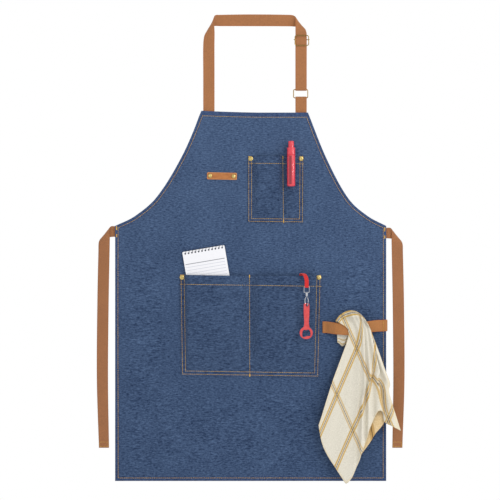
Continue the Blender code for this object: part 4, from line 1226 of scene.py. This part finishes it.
for node, low_round, high_round in (("pen_body", 2.4, 0.5), ("pen_cap", 0.5, 1.4), ("pen_button", 0.4, 1.6)):
    lowest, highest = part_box(node)
    radius = (highest.x - lowest.x) / 2 / MM
    rod = rounded_rod(lowest.z / MM, highest.z / MM, radius, low_round, high_round)
    middle = ((lowest.x + highest.x) / 2, (lowest.y + highest.y) / 2)
    body = "pen_button" if node == "pen_button" else "pen"
    piece(node + "_gloss", lathe(rod, middle), red_plastic, body, [node])
ink = Finish("ink_felt", Sheen_Weight=0.3)
felt = ink.noise(0.8 * MM, 5.0)
felt_tone = ink.mix(ink.spread(felt, 0.3, 0.7), chart(96, 14, 22), chart(120, 26, 34))
repaint(ink.finished(felt_tone, ink.spread(felt, 0.3, 0.7, 0.8, 0.95), felt, 0.1 * MM), "pen_core")


# ---- Lanyard and bottle opener
# A narrow red webbing tongue comes up out of the low pocket, over its mouth and down through the
# swivel's steel eye. The swivel hook carries a flat enamelled opener with a waisted handle.
fob_low, fob_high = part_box("swivel_eye")
FOB_X = (fob_low.x + fob_high.x) / 2 / MM
FOB_Y = (fob_low.y + fob_high.y) / 2 / MM
EYE_TOP = -587.5
LANYARD_T = 1.2
LANYARD_HALF = 4.6
eye_wrap = 0.7 + GAP + LANYARD_T / 2
lanyard_route = through((
    (112.0, -4.6, -640.0), (112.5, -5.0, -600.0), (113.0, -5.6, -572.0), (113.5, -7.0, -561.5),
    (114.5, -10.5, -558.4), (117.0, -15.0, -558.2), (120.5, -20.0, -560.5), (123.6, -25.0, -566.0),
    (FOB_X, FOB_Y - eye_wrap, -574.0),
), 3.0)
lanyard_middle = [tuple(spot) for spot in lanyard_route]
for step in range(1, 9):
    turn = math.pi * step / 8
    lanyard_middle.append((FOB_X, FOB_Y - eye_wrap * math.cos(turn), EYE_TOP - eye_wrap * math.sin(turn)))
lanyard_middle += [(FOB_X, FOB_Y + eye_wrap, -584.0), (FOB_X, FOB_Y - eye_wrap + LANYARD_T + GAP, -577.5)]
lanyard_edges = [((x - LANYARD_HALF, y, z), (x + LANYARD_HALF, y, z)) for x, y, z in lanyard_middle]
red_web = webbing("red_webbing", (206, 44, 42), (186, 34, 36), 2 * LANYARD_HALF)
lanyard_shape, lanyard_length = webbing_shape(lanyard_edges, LANYARD_T, 1.5)
lanyard = piece("lanyard_webbing", lanyard_shape, red_web, "root", ["lanyard_strap"])

OPENER_T = 2.8
ROUND = 0.6
HEAD_AT = (124.1, -690.6)
HEAD_R = (14.7, 13.9)
stem_x = HEAD_AT[0] + 0.8


def round_route(middle, radius, low, high, count):
    """Points (x, z) along an arc, the angles in degrees."""
    turns = [math.radians(low + (high - low) * k / count) for k in range(count + 1)]
    return [(middle[0] + radius[0] * math.cos(t), middle[1] + radius[1] * math.sin(t)) for t in turns]


handle = (
    (4.6, -624.6), (6.1, -625.9), (6.4, -630.0), (6.4, -647.0),
    (5.2, -664.0), (5.4, -672.0), (6.6, -677.0),
)
opener_outline = [(stem_x - x, z) for x, z in handle]
opener_outline += round_route(HEAD_AT, HEAD_R, 118, 422, 40)
opener_outline += [(stem_x + x, z) for x, z in reversed(handle)]
hang_hole = round_route((126.1, -628.8), (2.9, 2.9), 0, 360, 24)[:-1]
mouth = (
    (115.1, -694.0), (116.2, -687.0), (119.3, -683.9), (124.0, -684.6), (128.7, -682.9),
    (132.1, -686.1), (133.7, -691.5), (133.0, -696.9), (127.0, -697.6), (120.5, -699.4), (116.2, -699.2),
)
mouth_route = [tuple(spot) for spot in through((*mouth, mouth[0]), 1.5)][:-1]


def stamped(name, loops, thick, rounding):
    """A flat blank stamped out of sheet, holes and all, with rounded edges, as a mesh facing forward."""
    blank = bpy.data.curves.new(name, "CURVE")
    blank.dimensions = "2D"
    blank.fill_mode = "BOTH"
    blank.extrude = (thick / 2 - rounding) * MM
    blank.bevel_depth = rounding * MM
    blank.bevel_resolution = 3
    blank.offset = -rounding * MM
    for points in loops:
        spline = blank.splines.new("POLY")
        spline.points.add(len(points) - 1)
        spline.use_cyclic_u = True
        for point, (x, z) in zip(spline.points, points):
            point.co = (x * MM, z * MM, 0.0, 1.0)
    obj = bpy.data.objects.new(name, blank)
    bpy.context.scene.collection.objects.link(obj)
    bpy.context.view_layer.update()
    cut = bpy.data.meshes.new_from_object(obj.evaluated_get(bpy.context.evaluated_depsgraph_get()))
    shape = bmesh.new()
    shape.from_mesh(cut)
    bpy.data.objects.remove(obj, do_unlink=True)
    bpy.data.curves.remove(blank)
    bpy.data.meshes.remove(cut)
    bmesh.ops.remove_doubles(shape, verts=shape.verts, dist=1e-6)
    upright = Matrix.Rotation(math.pi / 2, 3, "X")
    bmesh.ops.rotate(shape, verts=shape.verts, cent=(0.0, 0.0, 0.0), matrix=upright)
    return shape


enamel = Finish("red_enamel", Coat_Weight=0.5, Coat_Roughness=0.08)
ripple = enamel.noise(6 * MM, 2.0)
speck = enamel.noise(0.5 * MM, 4.0)
enamel_tone = enamel.mix(enamel.spread(ripple, 0.3, 0.7), chart(188, 42, 46), chart(206, 64, 66))
red_enamel = enamel.finished(enamel_tone, enamel.spread(speck, 0.3, 0.7, 0.25, 0.4), ripple, 0.15 * MM)
opener_shape = stamped("opener_blank", (opener_outline, hang_hole, mouth_route), OPENER_T, ROUND)
bmesh.ops.translate(opener_shape, verts=opener_shape.verts, vec=(0.0, FOB_Y * MM, 0.0))
piece("opener_enamelled", opener_shape, red_enamel, "opener", ["bottle_opener"])
